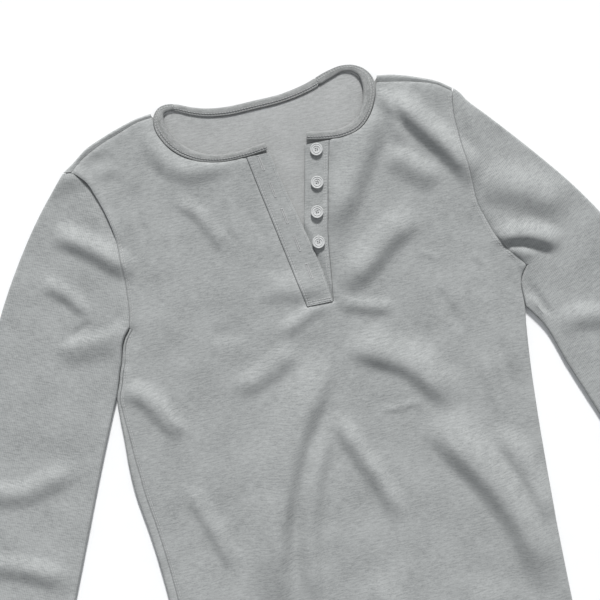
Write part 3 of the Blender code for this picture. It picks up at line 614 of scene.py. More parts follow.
# Creases too fine for the CAD solids
CREASES = [
    # rise, left reach, right reach, crest
    (-1.2, 5.0, 6.0, [(-132, -50), (-136, -72), (-134, -95), (-130, -110)]),
    (-1.0, 4.0, 4.0, [(103, -228), (102, -245), (96, -266), (89, -288)]),
    (1.4, 4.0, 5.0, [(-152, -252), (-145, -268), (-137, -286)]),
    (-1.6, 5.0, 5.0, [(-220, -178), (-208, -173), (-196, -169)]),
    (1.2, 5.0, 4.0, [(44, -302), (62, -304), (86, -301)]),
    (-2.2, 5.0, 6.0, [(199, -211), (205, -226), (212, -242), (217, -254)]),
    (1.6, 4.0, 4.0, [(201, -228), (207, -241), (213, -254)]),
    (0.9, 4.0, 6.0, [(106, -166), (116, -170), (127, -177)]),
    (0.9, 4.0, 6.0, [(154, -178), (161, -184), (167, -193)]),
    (-1.2, 9.0, 9.0, [(116, -200), (124, -222), (134, -248)]),
    (1.4, 9.0, 8.0, [(145, -266), (147, -296), (151, -332)]),
    (-1.3, 9.0, 9.0, [(164, -256), (167, -284), (171, -314)]),
    (-0.7, 3.0, 4.0, [(-60, -111), (-55, -119), (-50, -128)]),
    (-0.8, 3.0, 4.0, [(-36, -101), (-31, -114), (-26, -128)]),
    (-1.0, 12.0, 10.0, [(-50, -172), (-38, -171), (-26, -172)]),
    (-1.2, 16.0, 12.0, [(-96, -204), (-76, -205), (-56, -206)]),
    (-1.4, 9.0, 12.0, [(-172, -22), (-160, -25), (-146, -22)]),
    (-1.1, 9.0, 12.0, [(-166, -46), (-155, -46), (-142, -42)]),
    (1.0, 4.0, 4.0, [(188.6, -190), (191.5, -205), (194.3, -220)]),
    (-1.4, 8.0, 8.0, [(-226, -140), (-214, -152), (-204, -166)]),
]

# Steps at the seams, each on one piece alone
EDGES = [
    # piece, rise, left reach, right reach, crest
    ("front", 2.0, 10.0, 1.0,
     [(-190, -26), (-181, -36), (-170.4, -56), (-163, -84), (-160, -110)]),
    ("sleeve_left", -1.4, 1.0, 12.0,
     [(-195, -28), (-181, -36), (-170.4, -56), (-163, -84), (-160, -110)]),
    ("sleeve_left", 1.8, 1.5, 12.0,
     [(-158, -170), (-165, -181), (-176, -200), (-184, -226), (-192, -250)]),
    ("front", -1.2, 12.0, 1.0,
     [(-158, -165), (-165, -181), (-176, -200), (-184, -226), (-192, -250)]),
]

# Seams where the cloth dips to its stitches: depth and width of the dip
SEAM_DIP = 0.9
SEAM_DIP_WIDTH = 1.5

# Slow unevenness all over: wavelength and height
WAVES = [(38.0, 0.55), (15.0, 0.22)]

# How far a crease may go below the lowest level of the main folds
CREASE_BELOW = 0.3


def fold_height(points, rise, left, right, crest):
    """One fold: a rounded ridge with its own slope on each side, fading at both ends."""
    distance, side, share = nearest_on_line(points, smooth_line(crest, CREST_LINE_STEP)[:, :2])
    reach = np.where(side >= 0, left, right)
    profile = 0.5 * (1 + np.cos(math.pi * np.clip(distance / reach, 0, 1)))
    fade = np.clip(np.minimum(share, 1 - share) / TAPER_SHARE, 0, 1)
    return rise * profile * fade * fade * (3 - 2 * fade)


def top_height(points):
    """Height of the upper cloth's outer face above the table, main folds alone."""
    points = np.atleast_2d(np.asarray(points, float))[:, :2]
    height = np.full(len(points), PLAIN_TOP)
    for x, y, across, along, rise in LOFTS:
        height += rise * np.exp(-((points[:, 0] - x) / across)**2
                                - ((points[:, 1] - y) / along)**2)
    for _, rise, left, right, crest in FOLDS:
        height += fold_height(points, rise, left, right, crest)
    return np.maximum(height, LOWEST_TOP)


def piece_height(points, piece, seams=()):
    """Height with creases, seam steps, seam dips and slow waves as well."""
    points = np.atleast_2d(np.asarray(points, float))[:, :2]
    height = top_height(points)
    for rise, left, right, crest in CREASES:
        height += fold_height(points, rise, left, right, crest)
    for owner, rise, left, right, crest in EDGES:
        if owner == piece:
            height += fold_height(points, rise, left, right, crest)
    for length, rise in WAVES:
        height += [rise * noise.noise((x / length, y / length, length)) for x, y in points]
    for seam in seams:
        gap = nearest_on_line(points, seam[:, :2])[0]
        height -= SEAM_DIP * np.exp(-(gap / SEAM_DIP_WIDTH)**2)
    return np.maximum(height, LOWEST_TOP - CREASE_BELOW)


print("Folds:", len(FOLDS), "main,", len(CREASES), "fine")

# %% [markdown]
# ## A sheet of cloth
#
# `fill` cuts an outline into small even triangles. `Cloth` gives each point a place on the
# outer and the inner face, so that the finished sheet has a real wall and cut edges. Its
# `roll` is the rounded fold where a piece turns under to the table.

# %% Sheet helpers
POINTS_AT_ONCE = 4000
SEAM_ROWS = (1.5, 3.0)
RIBBON_ROWS = (0.0, 0.34, 0.67, 1.0)
MERGE_DISTANCE = 1e-4
SHARP_ANGLE = 55.0
# Least distance of a point from the others, as a share of the mesh spacing
GUIDE_CLEAR = 0.35
LATTICE_CLEAR = 0.5


def inside(points, outline):
    """True for each point that lies inside the closed outline."""
    found = []
    a, b = outline, np.roll(outline, -1, axis=0)
    rise = np.where(b[:, 1] == a[:, 1], 1e-9, b[:, 1] - a[:, 1])
    for part in np.array_split(points, len(points) // POINTS_AT_ONCE + 1):
        x, y = part[:, 0][:, None], part[:, 1][:, None]
        crosses = (a[:, 1] > y) != (b[:, 1] > y)
        hit = x < a[:, 0] + (y - a[:, 1]) / rise * (b[:, 0] - a[:, 0])
        found.append((crosses & hit).sum(1) % 2 == 1)
    return np.concatenate(found)


def clear_of(points, others, distance):
    """True for each point that is further than the distance from all others."""
    if not len(points) or not len(others):
        return np.ones(len(points), bool)
    tree = kdtree.KDTree(len(others))
    for i, (x, y) in enumerate(others):
        tree.insert((x, y, 0.0), i)
    tree.balance()
    return np.array([tree.find((x, y, 0.0))[2] > distance for x, y in points])


def beside_seams(seams):
    """Rows of points along both sides of the seams, so that the mesh can dip there."""
    return np.vstack([beside(seam, side * row) for seam in seams
                      for row in SEAM_ROWS for side in (-1, 1)])


def fill(outline, spacing, guides=None):
    """Triangles inside a plan outline, over its own points and an even lattice of points."""
    edge = np.vstack([smooth_line([a, b], spacing / 3)[:, :2]
                      for a, b in zip(outline, np.roll(outline, -1, axis=0))])
    kept = edge
    extra = np.empty((0, 2))
    if guides is not None:
        extra = guides[inside(guides, outline)]
        extra = extra[clear_of(extra, edge, GUIDE_CLEAR * spacing)]
        kept = np.vstack([edge, extra])
    low, high = outline.min(0), outline.max(0)
    row_height = spacing * math.sqrt(3) / 2
    lattice = []
    for row in range(int((high[1] - low[1]) / row_height) + 1):
        xs = low[0] + spacing / 2 * (row % 2) + np.arange(0, high[0] - low[0], spacing)
        lattice.append(np.column_stack([xs, np.full(len(xs), low[1] + row * row_height)]))
    lattice = np.vstack(lattice)
    lattice = lattice[inside(lattice, outline)]
    lattice = lattice[clear_of(lattice, kept, LATTICE_CLEAR * spacing)]
    points = np.vstack([outline, extra, lattice])
    signed = outline[:, 0] * np.roll(outline[:, 1], -1) - outline[:, 1] * np.roll(outline[:, 0], -1)
    ring = list(range(len(outline)))
    if signed.sum() < 0:
        ring.reverse()
    _, _, faces, sources, _, _ = delaunay_2d_cdt(
        [Vector(point) for point in points], [], [ring], 1, MERGE_DISTANCE)
    return points, [[sources[i][0] for i in face] for face in faces]


def make_piece(name, points, faces, places, materials, inner_faces=()):
    """An object from points in millimetres, with its UV map and its faces turned outwards."""
    mesh = bpy.data.meshes.new(name)
    mesh.from_pydata([row_point(*point) for point in points], [], faces)
    layer = mesh.uv_layers.new(name="knit")
    flat = [value * MM for place in places for corner in place for value in corner]
    layer.data.foreach_set("uv", flat)
    for material in materials:
        mesh.materials.append(material)
    kinds = np.zeros(len(faces), int)
    kinds[list(inner_faces)] = 1
    mesh.polygons.foreach_set("material_index", kinds)
    work = bmesh.new()
    work.from_mesh(mesh)
    bmesh.ops.recalc_face_normals(work, faces=work.faces)
    work.to_mesh(mesh)
    work.free()
    mesh.shade_smooth()
    mesh.set_sharp_from_angle(angle=math.radians(SHARP_ANGLE))
    piece = bpy.data.objects.new(name, mesh)
    bpy.context.collection.objects.link(piece)
    return piece


def triangles(piece):
    return sum(len(face.vertices) - 2 for face in piece.data.polygons)


def inward_directions(fold, side, start=None, end=None):
    """Directions from a fold into the cloth. Near an end they turn to the one given there."""
    directions = left_normals(fold) * side
    along = np.concatenate([[0.0], np.cumsum(np.linalg.norm(np.diff(fold, axis=0), axis=1))])
    for given, gap in ((start, along), (end, along[-1] - along)):
        if given is not None:
            share = np.clip(1 - gap / END_TURN, 0, 1)[:, None]
            directions = directions * (1 - share) + unit(given) * share
    return directions / np.linalg.norm(directions, axis=1)[:, None]


def unit(vector):
    vector = np.asarray(vector, float)
    return vector / np.linalg.norm(vector)


class Cloth:
    """A sheet of cloth with a wall: every point has a place on its outer and inner face."""

    def __init__(self, name, seams, grain=(0.0, -1.0)):
        self.name = name
        self.seams = seams
        self.along = -unit(grain)
        self.ids = {}
        self.outer = []
        self.inner = []
        self.faces = []

    def place(self, point):
        """Where a point is on the flat cut: across the grain, and along it."""
        x, y, z = point
        ax, ay = self.along
        return (x * ay - y * ax, x * ax + y * ay + 0.5 * z)

    def point(self, outer, inner):
        key = tuple(round(c * 1000) for c in outer)
        if key not in self.ids:
            self.ids[key] = len(self.outer)
            self.outer.append(tuple(outer))
            self.inner.append(tuple(inner))
        return self.ids[key]

    def face(self, corners):
        corners = list(dict.fromkeys(corners))
        if len(corners) > 2:
            self.faces.append(corners)

    def upper(self, points, faces):
        """A filled area of the upper cloth, following the folds."""
        heights = piece_height(points, self.name, self.seams)
        ids = [self.point((x, y, z), (x, y, z - WALL)) for (x, y), z in zip(points, heights)]
        for face in faces:
            self.face([ids[i] for i in face])

    def floor(self, points, faces):
        """A filled area that lies flat on the table."""
        ids = [self.point((x, y, 0.0), (x, y, WALL)) for x, y in points]
        for face in faces:
            self.face([ids[i] for i in face])

    def roll(self, fold, inward):
        """The rounded fold where the upper cloth turns under to the table."""
        inset = fold + inward * ROLL_REACH
        halves = piece_height(inset, self.name, self.seams) / 2
        rows = []
        for (x, y), (dx, dy), half in zip(inset, inward, halves):
            row = []
            for angle in ROLL_ANGLES:
                s, c = math.sin(math.radians(angle)), math.cos(math.radians(angle))
                out, within = ROLL_REACH * s, (ROLL_REACH - WALL) * s
                row.append(self.point(
                    (x - dx * out, y - dy * out, half + half * c),
                    (x - dx * within, y - dy * within, half + (half - WALL) * c)))
            rows.append(row)
        for a, b in zip(rows, rows[1:]):
            for k in range(len(ROLL_ANGLES) - 1):
                self.face([a[k], a[k + 1], b[k + 1], b[k]])
        return inset

    def ribbon(self, first, second):
        """A strip of upper cloth between two lines with the same number of points."""
        rows = [lerp(first, second, share) for share in RIBBON_ROWS]
        count = len(first)
        faces = [[r * count + i, r * count + i + 1, (r + 1) * count + i + 1, (r + 1) * count + i]
                 for r in range(len(RIBBON_ROWS) - 1) for i in range(count - 1)]
        self.upper(np.vstack(rows), faces)

    def piece(self, name, face_material, inside_material):
        """Outer face, inner face and the cut edges between them, as one closed piece."""
        count = len(self.outer)
        points = self.outer + self.inner
        faces = self.faces + [[count + i for i in reversed(face)] for face in self.faces]
        inner = range(len(self.faces), 2 * len(self.faces))
        uses = {}
        for face in self.faces:
            for a, b in zip(face, face[1:] + face[:1]):
                uses.setdefault(frozenset((a, b)), []).append((a, b))
        for edge in uses.values():
            if len(edge) == 1:
                a, b = edge[0]
                faces.append([b, a, count + a, count + b])
        spots = [self.place(point) for point in points]
        places = [[spots[i] for i in face] for face in faces]
        return make_piece(name, points, faces, places, [face_material, inside_material], inner)


# %% [markdown]
# ## The plan of the seams
#
# Neighbouring pieces must share their seam, apart from a hair's breadth, so all seams are
# sampled once, before any piece is made.

# %% Sample the seams


def band_edge(first, last):
    """The seam between the band and the front, just outside the band's outer edge."""
    line = smooth_line(NECK_BAND[first:last], NECK_STEP)
    return line[:, :2] + left_normals(line) * (line[:, 2] / 2 + SEAM_GAP)[:, None]


class Plan:
    """The seams and folds in plan, sampled once so that neighbours share their points."""

    def __init__(self):
        gap = SEAM_GAP / 2
        left = smooth_line(ARMHOLE_LEFT, SEAM_STEP)
        right = smooth_line(ARMHOLE_RIGHT, SEAM_STEP)
        self.body_armhole_left = beside(left, gap)
        self.sleeve_armhole_left = beside(left, -gap)
        self.body_armhole_right = beside(right, -gap)
        self.sleeve_armhole_right = beside(right, gap)

        contact = smooth_line(SIDE_LEFT[-1:] + UNDERARM_LEFT, SEAM_STEP)
        self.side_left = np.vstack([smooth_line(SIDE_LEFT, EDGE_STEP)[:-1, :2],
                                    beside(contact, -gap)])
        inner = smooth_line(UNDERARM_LEFT[::-1] + SLEEVE_LEFT_INNER, EDGE_STEP)
        self.sleeve_left_inner = beside(inner, -UNDERARM_GAP)
        self.sleeve_left_outer = smooth_line(SLEEVE_LEFT_OUTER, EDGE_STEP)[:, :2]

        contact = smooth_line(SIDE_RIGHT[-1:] + UNDERARM_RIGHT, SEAM_STEP)
        self.side_right = np.vstack([smooth_line(SIDE_RIGHT, EDGE_STEP)[:-1, :2],
                                     beside(contact, gap)])
        inner = smooth_line(UNDERARM_RIGHT[::-1] + SLEEVE_RIGHT_INNER, EDGE_STEP)
        self.sleeve_right_inner = beside(inner, UNDERARM_GAP)
        self.sleeve_right_outer = smooth_line(SLEEVE_RIGHT_OUTER, EDGE_STEP)[:, :2]

        self.side_right_inward = inward_directions(
            self.side_right, 1.0, start=(-1, 0), end=unit(right[-2] - right[-1]))
        self.side_left_seam = self.lip_seam()
        self.shoulder_left = smooth_line(SHOULDER_LEFT, SEAM_STEP)
        self.shoulder_right = smooth_line(SHOULDER_RIGHT, SEAM_STEP)
        self.placket = smooth_line(PLACKET, STRIP_STEP)
        self.neck_left = band_edge(*BAND_LEFT_ROWS)
        self.neck_right = band_edge(*BAND_RIGHT_ROWS)

    def lip_seam(self):
        """The left side seam, inside the fold by the width of the lip there."""
        levels, widths = np.array(LIP_LEFT).T
        width = np.interp(self.side_left[:, 1], levels, widths)
        normals = left_normals(self.side_left)
        return self.side_left - normals * width[:, None]


plan = Plan()
print("Left armhole seam:", len(plan.body_armhole_left), "points")

# %% [markdown]
# ## Front panel
#
# The front is one piece of jersey with a slit for the placket. Its right side turns under to
# the table and its left side ends at a seam. It is cut as a thin sheet over the plan of its
# seams, dips where it is sewn, and rolls over at the right.

# %% Front panel


def make_front():
    """Front panel: slit for the placket, its right side turned under to the table."""
    slit_left = plan.placket[:, [0, 1]] - (SEAM_GAP, 0)
    slit_right = plan.placket[:, [4, 1]] + (SEAM_GAP, 0)
    slit_left[-1, 1] -= SEAM_GAP
    slit_right[-1, 1] -= SEAM_GAP
    foot = smooth_line([slit_left[-1], slit_right[-1]], STRIP_STEP)[1:-1]
    neck_left = plan.neck_left[plan.neck_left[:, 0] < slit_left[0, 0] - 1.0]
    neck_right = plan.neck_right[plan.neck_right[:, 0] > slit_right[0, 0] + 1.0]
    neck_left = neck_left[neck_left[:, 1] < SHOULDER_LEFT[0][3] - 1.0]
    neck_right = neck_right[neck_right[:, 1] < SHOULDER_RIGHT[0][3] - 1.0]
    seam_left = plan.shoulder_left[:, 2:] - (0.0, SEAM_GAP)
    seam_right = plan.shoulder_right[:, 2:] - (0.0, SEAM_GAP)
    side_seam = plan.side_left_seam + (SEAM_GAP, 0)
    inset = plan.side_right + plan.side_right_inward * ROLL_REACH
    hem = smooth_line([side_seam[0], inset[0]], SPACING)[1:-1, :2]
    outline = np.vstack([
        inset, plan.body_armhole_right[::-1][1:-1], seam_right[::-1], neck_right, slit_right,
        foot[::-1], slit_left[::-1], neck_left, seam_left, plan.body_armhole_left[2:],
        side_seam[::-1], hem])
    seams = [plan.body_armhole_right, plan.body_armhole_left, plan.neck_left, plan.neck_right,
             plan.shoulder_left[:, 2:], plan.shoulder_right[:, 2:], side_seam, slit_left,
             slit_right, np.vstack([slit_left[-1:], foot, slit_right[-1:]])]
    cloth = Cloth("front", seams)
    cloth.upper(*fill(outline, SPACING, beside_seams(seams)))
    cloth.roll(plan.side_right, plan.side_right_inward)
    return cloth.piece("front_panel", face_knit, inside_knit), seams


front, front_seams = make_front()
print("Front panel:", triangles(front), "triangles")

# %% [markdown]
# ## Back panel
#
# The back lies flat on the table and wraps forward over both shoulders and the left side,
# where its edge shows as a narrow lip beside the seam. In the neck its inside is seen.

# %% Back panel


def make_back():
    """Back panel: flat on the table, wrapped forward over the shoulders and the left side."""
    cloth = Cloth("back", [plan.side_left_seam, plan.shoulder_left[:, 2:],
                           plan.shoulder_right[:, 2:]])
    folds = []
    for fold, seam in (
            (plan.side_left, plan.side_left_seam),
            (plan.shoulder_left[:, :2], plan.shoulder_left[:, 2:]),
            (plan.shoulder_right[:, :2], plan.shoulder_right[:, 2:])):
        inward = seam - fold
        inward /= np.linalg.norm(inward, axis=1)[:, None]
        inset = cloth.roll(fold, inward)
        cloth.ribbon(inset, seam)
        folds.append(inset)
    side_left, shoulder_left, shoulder_right = folds
    side_right = plan.side_right + plan.side_right_inward * (ROLL_REACH + SEAM_GAP)
    hem = smooth_line([side_left[0], side_right[0]], FLOOR_SPACING)[1:-1, :2]
    neck = smooth_line(BACK_NECK, SEAM_STEP)[::-1][1:-1, :2]
    outline = np.vstack([
        side_right, plan.body_armhole_right[::-1][1:-1], shoulder_right[::-1], neck,
        shoulder_left, plan.body_armhole_left[1:], side_left[::-1], hem])
    cloth.floor(*fill(outline, FLOOR_SPACING))
    return cloth.piece("back_panel", face_knit, inside_knit)


back = make_back()
print("Back panel:", triangles(back), "triangles")

# %% [markdown]
# ## Sleeves
#
# Each sleeve is one tube of jersey, pressed flat, so it has a fold along both edges and is
# open at the armhole and the wrist. The grain runs along the sleeve, so its UV map is turned.

# %% Sleeves


def make_sleeve(name, armhole, outer, inner, side, inner_start, grain):
    """A sleeve: one flattened tube, folded at both edges, open at the armhole and the wrist."""
    seams = [armhole]
    cloth = Cloth(name, seams, grain)
    outer_in = inward_directions(outer, side, start=armhole[1] - armhole[0])
    inner_in = inward_directions(inner, -side, start=inner_start)
    outer_inset = cloth.roll(outer, outer_in)
    inner_inset = cloth.roll(inner, inner_in)
    wrist = smooth_line([inner_inset[-1], outer_inset[-1]], EDGE_STEP)[1:-1, :2]
    outline = np.vstack([
        outer_inset[:1], armhole[1:], inner_inset, wrist, outer_inset[:0:-1]])
    cloth.upper(*fill(outline, SPACING, beside_seams(seams)))
    cloth.floor(*fill(outline, FLOOR_SPACING))
    return cloth.piece(name + "_tube", sleeve_knit, inside_knit)


GRAIN_LEFT = (-0.39, -0.92)
GRAIN_RIGHT = (0.38, -0.925)
sleeve_left = make_sleeve("sleeve_left", plan.sleeve_armhole_left, plan.sleeve_left_outer,
                          plan.sleeve_left_inner, 1.0, INTO_SLEEVE_LEFT, GRAIN_LEFT)
sleeve_right = make_sleeve("sleeve_right", plan.sleeve_armhole_right, plan.sleeve_right_outer,
                           plan.sleeve_right_inner, -1.0, INTO_SLEEVE_RIGHT, GRAIN_RIGHT)
print("Sleeves:", triangles(sleeve_left), "and", triangles(sleeve_right), "triangles")

# %% [markdown]
# ## Neck band
#
# A strip of jersey is folded over the neck edge and stitched down. In front its seam edge
# faces outwards. At the back the band stands up beyond its seam, and its inside shows, so
# the stitched edge is on the other side there. One cross-section is swept along the band and
# turned over between two steps, where the inside starts to show and where it stops.

# %% Neck band
BAND_SECTION = [
    # across, up: the stitched edge first, as shares of half the width and half the height
    (1.0, -0.15), (0.985, 0.25), (0.93, 0.52), (0.84, 0.66), (0.74, 0.60), (0.66, 0.42),
    (0.58, 0.56), (0.46, 0.80), (0.25, 0.94), (0.0, 1.0), (-0.3, 0.99), (-0.6, 0.90),
    (-0.82, 0.70), (-0.95, 0.38), (-1.0, -0.1), (-0.93, -0.6), (-0.7, -0.92), (-0.2, -1.0),
    (0.3, -1.0), (0.75, -0.9), (0.95, -0.6),
]
BAND_FACES_OUT = (0.30, 0.36, 0.62, 0.68)
# The section's point that comes first where the band is turned over, and its cloth per point
BAND_TURNED_FIRST = 11
BAND_CLOTH_STEP = 0.9


def band_lines():
    """Centre line of the band with its normals and the side its stitched edge is on."""
    line = smooth_line(NECK_BAND, BAND_STEP)
    share = np.linspace(0, 1, len(line))
    turned = np.interp(share, BAND_FACES_OUT, (1.0, 0.0, 0.0, 1.0))
    return line, left_normals(line), turned


def band_section(turned):
    """The cross-section, turned over where the band shows its inside."""
    section = np.array(BAND_SECTION)
    flipped = np.array([(-a, u) for a, u in BAND_SECTION])
    order = [(BAND_TURNED_FIRST - i) % len(section) for i in range(len(section))]
    return section if turned > 0.5 else flipped[order]


def make_band():
    line, normals, turned = band_lines()
    count = len(BAND_SECTION)
    points, faces, places = [], [], []
    run = np.concatenate([[0.0], np.cumsum(np.linalg.norm(np.diff(line[:, :2], axis=0), axis=1))])
    for (x, y, width, level), (nx, ny), side in zip(line, normals, turned):
        for across, up in band_section(side):
            out = across * width / 2
            points.append((x + nx * out, y + ny * out, level + up * BAND_THICK / 2))
    for i in range(len(line) - 1):
        for k in range(count):
            a, b = i * count + k, i * count + (k + 1) % count
            faces.append([a, b, b + count, a + count])
            low = k * BAND_CLOTH_STEP
            high = low + BAND_CLOTH_STEP
            places.append([(run[i], low), (run[i], high), (run[i + 1], high), (run[i + 1], low)])
    for first in (0, len(points) - count):
        faces.append([first + k for k in range(count)])
        places.append([(0.0, 0.0)] * count)
    return make_piece("neck_binding_band", points, faces, places, [binding_knit])


band = make_band()
print("Neck band:", triangles(band), "triangles")

# %% [markdown]
# ## Placket strips
#
# Two folded strips edge the opening. The buttonhole strip lies on top, and at the foot the
# button strip passes under it. Each has rounded edges, so the edge columns stand a little
# lower than the middle.

# %% Placket strips
STRIP_ACROSS = (
    0.0, 0.02, 0.05, 0.09, 0.16, 0.26, 0.38, 0.5, 0.62, 0.74, 0.84, 0.91, 0.95, 0.98, 1.0)
STRIP_ROUND = 0.9
STRIP_ROUND_WIDTH = 0.5
STRIP_UNDER_CLEAR = 0.1
STRIP_GROOVE = 0.35
STRIP_GROOVE_AT = 2.0
STRIP_GROOVE_WIDTH = 0.6


def strip_relief(x, left, right):
    """How far a strip's face lies below its crown: round edges and two sewn grooves."""
    edge = np.minimum(x - left, right - x)
    drop = STRIP_ROUND * np.exp(-edge / STRIP_ROUND_WIDTH)
    return drop + STRIP_GROOVE * np.exp(-((edge - STRIP_GROOVE_AT) / STRIP_GROOVE_WIDTH)**2)


def tuck_drop(x, y):
    """How far the button strip lies lower where it passes under the other."""
    hole_inner = np.interp(-y, -plan.placket[:, 1], plan.placket[:, 2])
    past_edge = x - hole_inner - TUCK_CLEAR
    return TUCK_DROP * np.clip(1 - past_edge / TUCK_RUN, 0, 1)


def strip_height(x, y, button_strip):
    """Height of a strip's upper face at plan points."""
    edges = [np.interp(-y, -plan.placket[:, 1], plan.placket[:, k]) for k in range(5)]
    left, right = (edges[3], edges[4]) if button_strip else (edges[0], edges[2])
    height = top_height(np.column_stack([x, y])) + STRIP_PROUD - strip_relief(x, left, right)
    return height - tuck_drop(x, y) if button_strip else height


def make_strip(name, button_strip):
    """One placket strip, as a closed folded band over its own grid."""
    cloth = Cloth(name, [])
    left, right = (3, 4) if button_strip else (0, 2)
    grid = []
    for row in plan.placket:
        xs = lerp(row[left], row[right], np.array(STRIP_ACROSS))
        ys = np.full(len(xs), row[1])
        tops = strip_height(xs, ys, button_strip)
        crown = tops + strip_relief(xs, row[left], row[right])
        grid.append([cloth.point((x, y, z), (x, y, c - STRIP_THICK + STRIP_UNDER_CLEAR))
                     for x, y, z, c in zip(xs, ys, tops, crown)])
    for a, b in zip(grid, grid[1:]):
        for k in range(len(a) - 1):
            cloth.face([a[k], b[k], b[k + 1], a[k + 1]])
    return cloth.piece(name + "_strip", face_knit, face_knit)


hole_strip = make_strip("placket_buttonhole", False)
button_strip = make_strip("placket_button", True)
print("Placket strips:", triangles(hole_strip), "and", triangles(button_strip), "triangles")

# %% [markdown]
# ## Buttons
#
# Four pressed plastic buttons, 11.5 mm across, each with a raised rim, a raised ring and a
# sunk middle with four holes. One is modelled from a cylinder by insets and small moves of
# the new faces, its holes are cut with a Boolean, and the others are copies set in place.

# %% Buttons
BUTTON_RADIUS = 5.75
BUTTON_THICK = 2.4
BUTTON_SIDES = 72
RINGS = [
    # inset, height of the face after it, both in millimetres
    (0.45, 0.0), (0.35, -0.45), (0.75, 0.0), (0.30, 0.38), (0.35, 0.0), (0.30, -0.50),
]
HOLE_RADIUS = 0.55
HOLE_OUT = 1.15
HOLE_COUNT = 4
HOLE_SIDES = 20
DRILL_LENGTH = 8.0
RIM_BEVEL = 0.35
RIM_BEVEL_STEPS = 3
BUTTON_SMOOTH_ANGLE = 40.0


def select_only(thing):
    bpy.ops.object.select_all(action="DESELECT")
    thing.select_set(True)
    bpy.context.view_layer.objects.active = thing


def button_blank():
    """The button at the origin, its underside at z = 0."""
    bpy.ops.object.select_all(action="DESELECT")
    bpy.ops.mesh.primitive_cylinder_add(
        vertices=BUTTON_SIDES, radius=BUTTON_RADIUS * MM, depth=BUTTON_THICK * MM,
        location=(0.0, 0.0, BUTTON_THICK * MM / 2))
    blank = bpy.context.active_object
    bpy.ops.object.transform_apply(location=True, rotation=False, scale=False)
    bpy.ops.object.mode_set(mode="EDIT")
    bpy.ops.mesh.select_mode(type="EDGE")
    bpy.ops.mesh.select_all(action="DESELECT")
    work = bmesh.from_edit_mesh(blank.data)
    for edge in work.edges:
        edge.select_set(abs(edge.verts[0].co.z - edge.verts[1].co.z) < 1e-6)
    bmesh.update_edit_mesh(blank.data)
    bpy.ops.mesh.bevel(offset=RIM_BEVEL * MM, segments=RIM_BEVEL_STEPS, affect="EDGES")
    bpy.ops.mesh.select_mode(type="FACE")
    bpy.ops.mesh.select_all(action="DESELECT")
    work = bmesh.from_edit_mesh(blank.data)
    top = max(work.faces, key=lambda face: (face.calc_center_median().z, face.calc_area()))
    top.select_set(True)
    bmesh.update_edit_mesh(blank.data)
    for inset, step in RINGS:
        bpy.ops.mesh.inset(thickness=inset * MM, depth=0.0)
        if step:
            bpy.ops.transform.translate(value=(0.0, 0.0, step * MM))
    bpy.ops.object.mode_set(mode="OBJECT")
    return blank


def cut_holes(blank):
    """Four holes through the sunk middle."""
    for k in range(HOLE_COUNT):
        angle = math.radians(45 + 360 / HOLE_COUNT * k)
        bpy.ops.object.select_all(action="DESELECT")
        bpy.ops.mesh.primitive_cylinder_add(
            vertices=HOLE_SIDES, radius=HOLE_RADIUS * MM, depth=DRILL_LENGTH * MM,
            location=(HOLE_OUT * MM * math.cos(angle), HOLE_OUT * MM * math.sin(angle), 0.0))
        drill = bpy.context.active_object
        cut = blank.modifiers.new("hole", "BOOLEAN")
        cut.operation = "DIFFERENCE"
        cut.solver = "EXACT"
        cut.object = drill
        select_only(blank)
        bpy.ops.object.modifier_apply(modifier=cut.name)
        bpy.data.objects.remove(drill)


blank = button_blank()
cut_holes(blank)
blank.data.materials.append(button_plastic)
select_only(blank)
bpy.ops.object.shade_smooth_by_angle(angle=math.radians(BUTTON_SMOOTH_ANGLE))
buttons = []
for number, (x, y) in enumerate(BUTTONS, start=1):
    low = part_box(f"button_{number}")[0].z
    mesh = blank.data.copy()
    mesh.transform(Matrix.Translation(row_point(x, y, 0.0) + Vector((0.0, 0.0, low))))
    button = bpy.data.objects.new(f"button_{number}_pressed", mesh)
    bpy.context.collection.objects.link(button)
    buttons.append(button)
bpy.data.objects.remove(blank)
print("Buttons:", len(buttons), "of", triangles(buttons[0]), "triangles")

# %% [markdown]
# ## Stitches
#
# A stitch is a small rounded bead of thread that lies along its line, half sunk in the
# cloth. Each row is walked at the stitch length, and all stitches of one seam are one piece.

# %% Stitching
STITCH_SIDES = 6
STITCH_WAIST = 0.62


def bead(start, end, radius, points, faces):
    """One stitch from start to end: a six-sided bead with pointed ends."""
    run = end - start
    ahead = run / np.linalg.norm(run)
    aside = np.cross(ahead, (0.0, 0.0, 1.0))
    aside /= np.linalg.norm(aside)
    up = np.cross(aside, ahead)
    first = len(points)
    points.append(start)
    for share in ((1 - STITCH_WAIST) / 2, (1 + STITCH_WAIST) / 2):
        for k in range(STITCH_SIDES):
            angle = 2 * math.pi * k / STITCH_SIDES
            points.append(start + run * share
                          + radius * (aside * math.cos(angle) + up * math.sin(angle)))
    points.append(end)
    near, far, last = first + 1, first + 1 + STITCH_SIDES, first + 1 + 2 * STITCH_SIDES
    for k in range(STITCH_SIDES):
        n = (k + 1) % STITCH_SIDES
        faces.append([first, near + n, near + k])
        faces.append([near + k, near + n, far + n, far + k])
        faces.append([far + k, far + n, last])


def walk(line, step):
    """Places at even steps along a plan line."""
    line = np.asarray(line, float)[:, :2]
    run = np.concatenate([[0.0], np.cumsum(np.linalg.norm(np.diff(line, axis=0), axis=1))])
    at = np.arange(step / 2, run[-1] - step / 2, step)
    return np.column_stack([np.interp(at, run, line[:, 0]), np.interp(at, run, line[:, 1])])


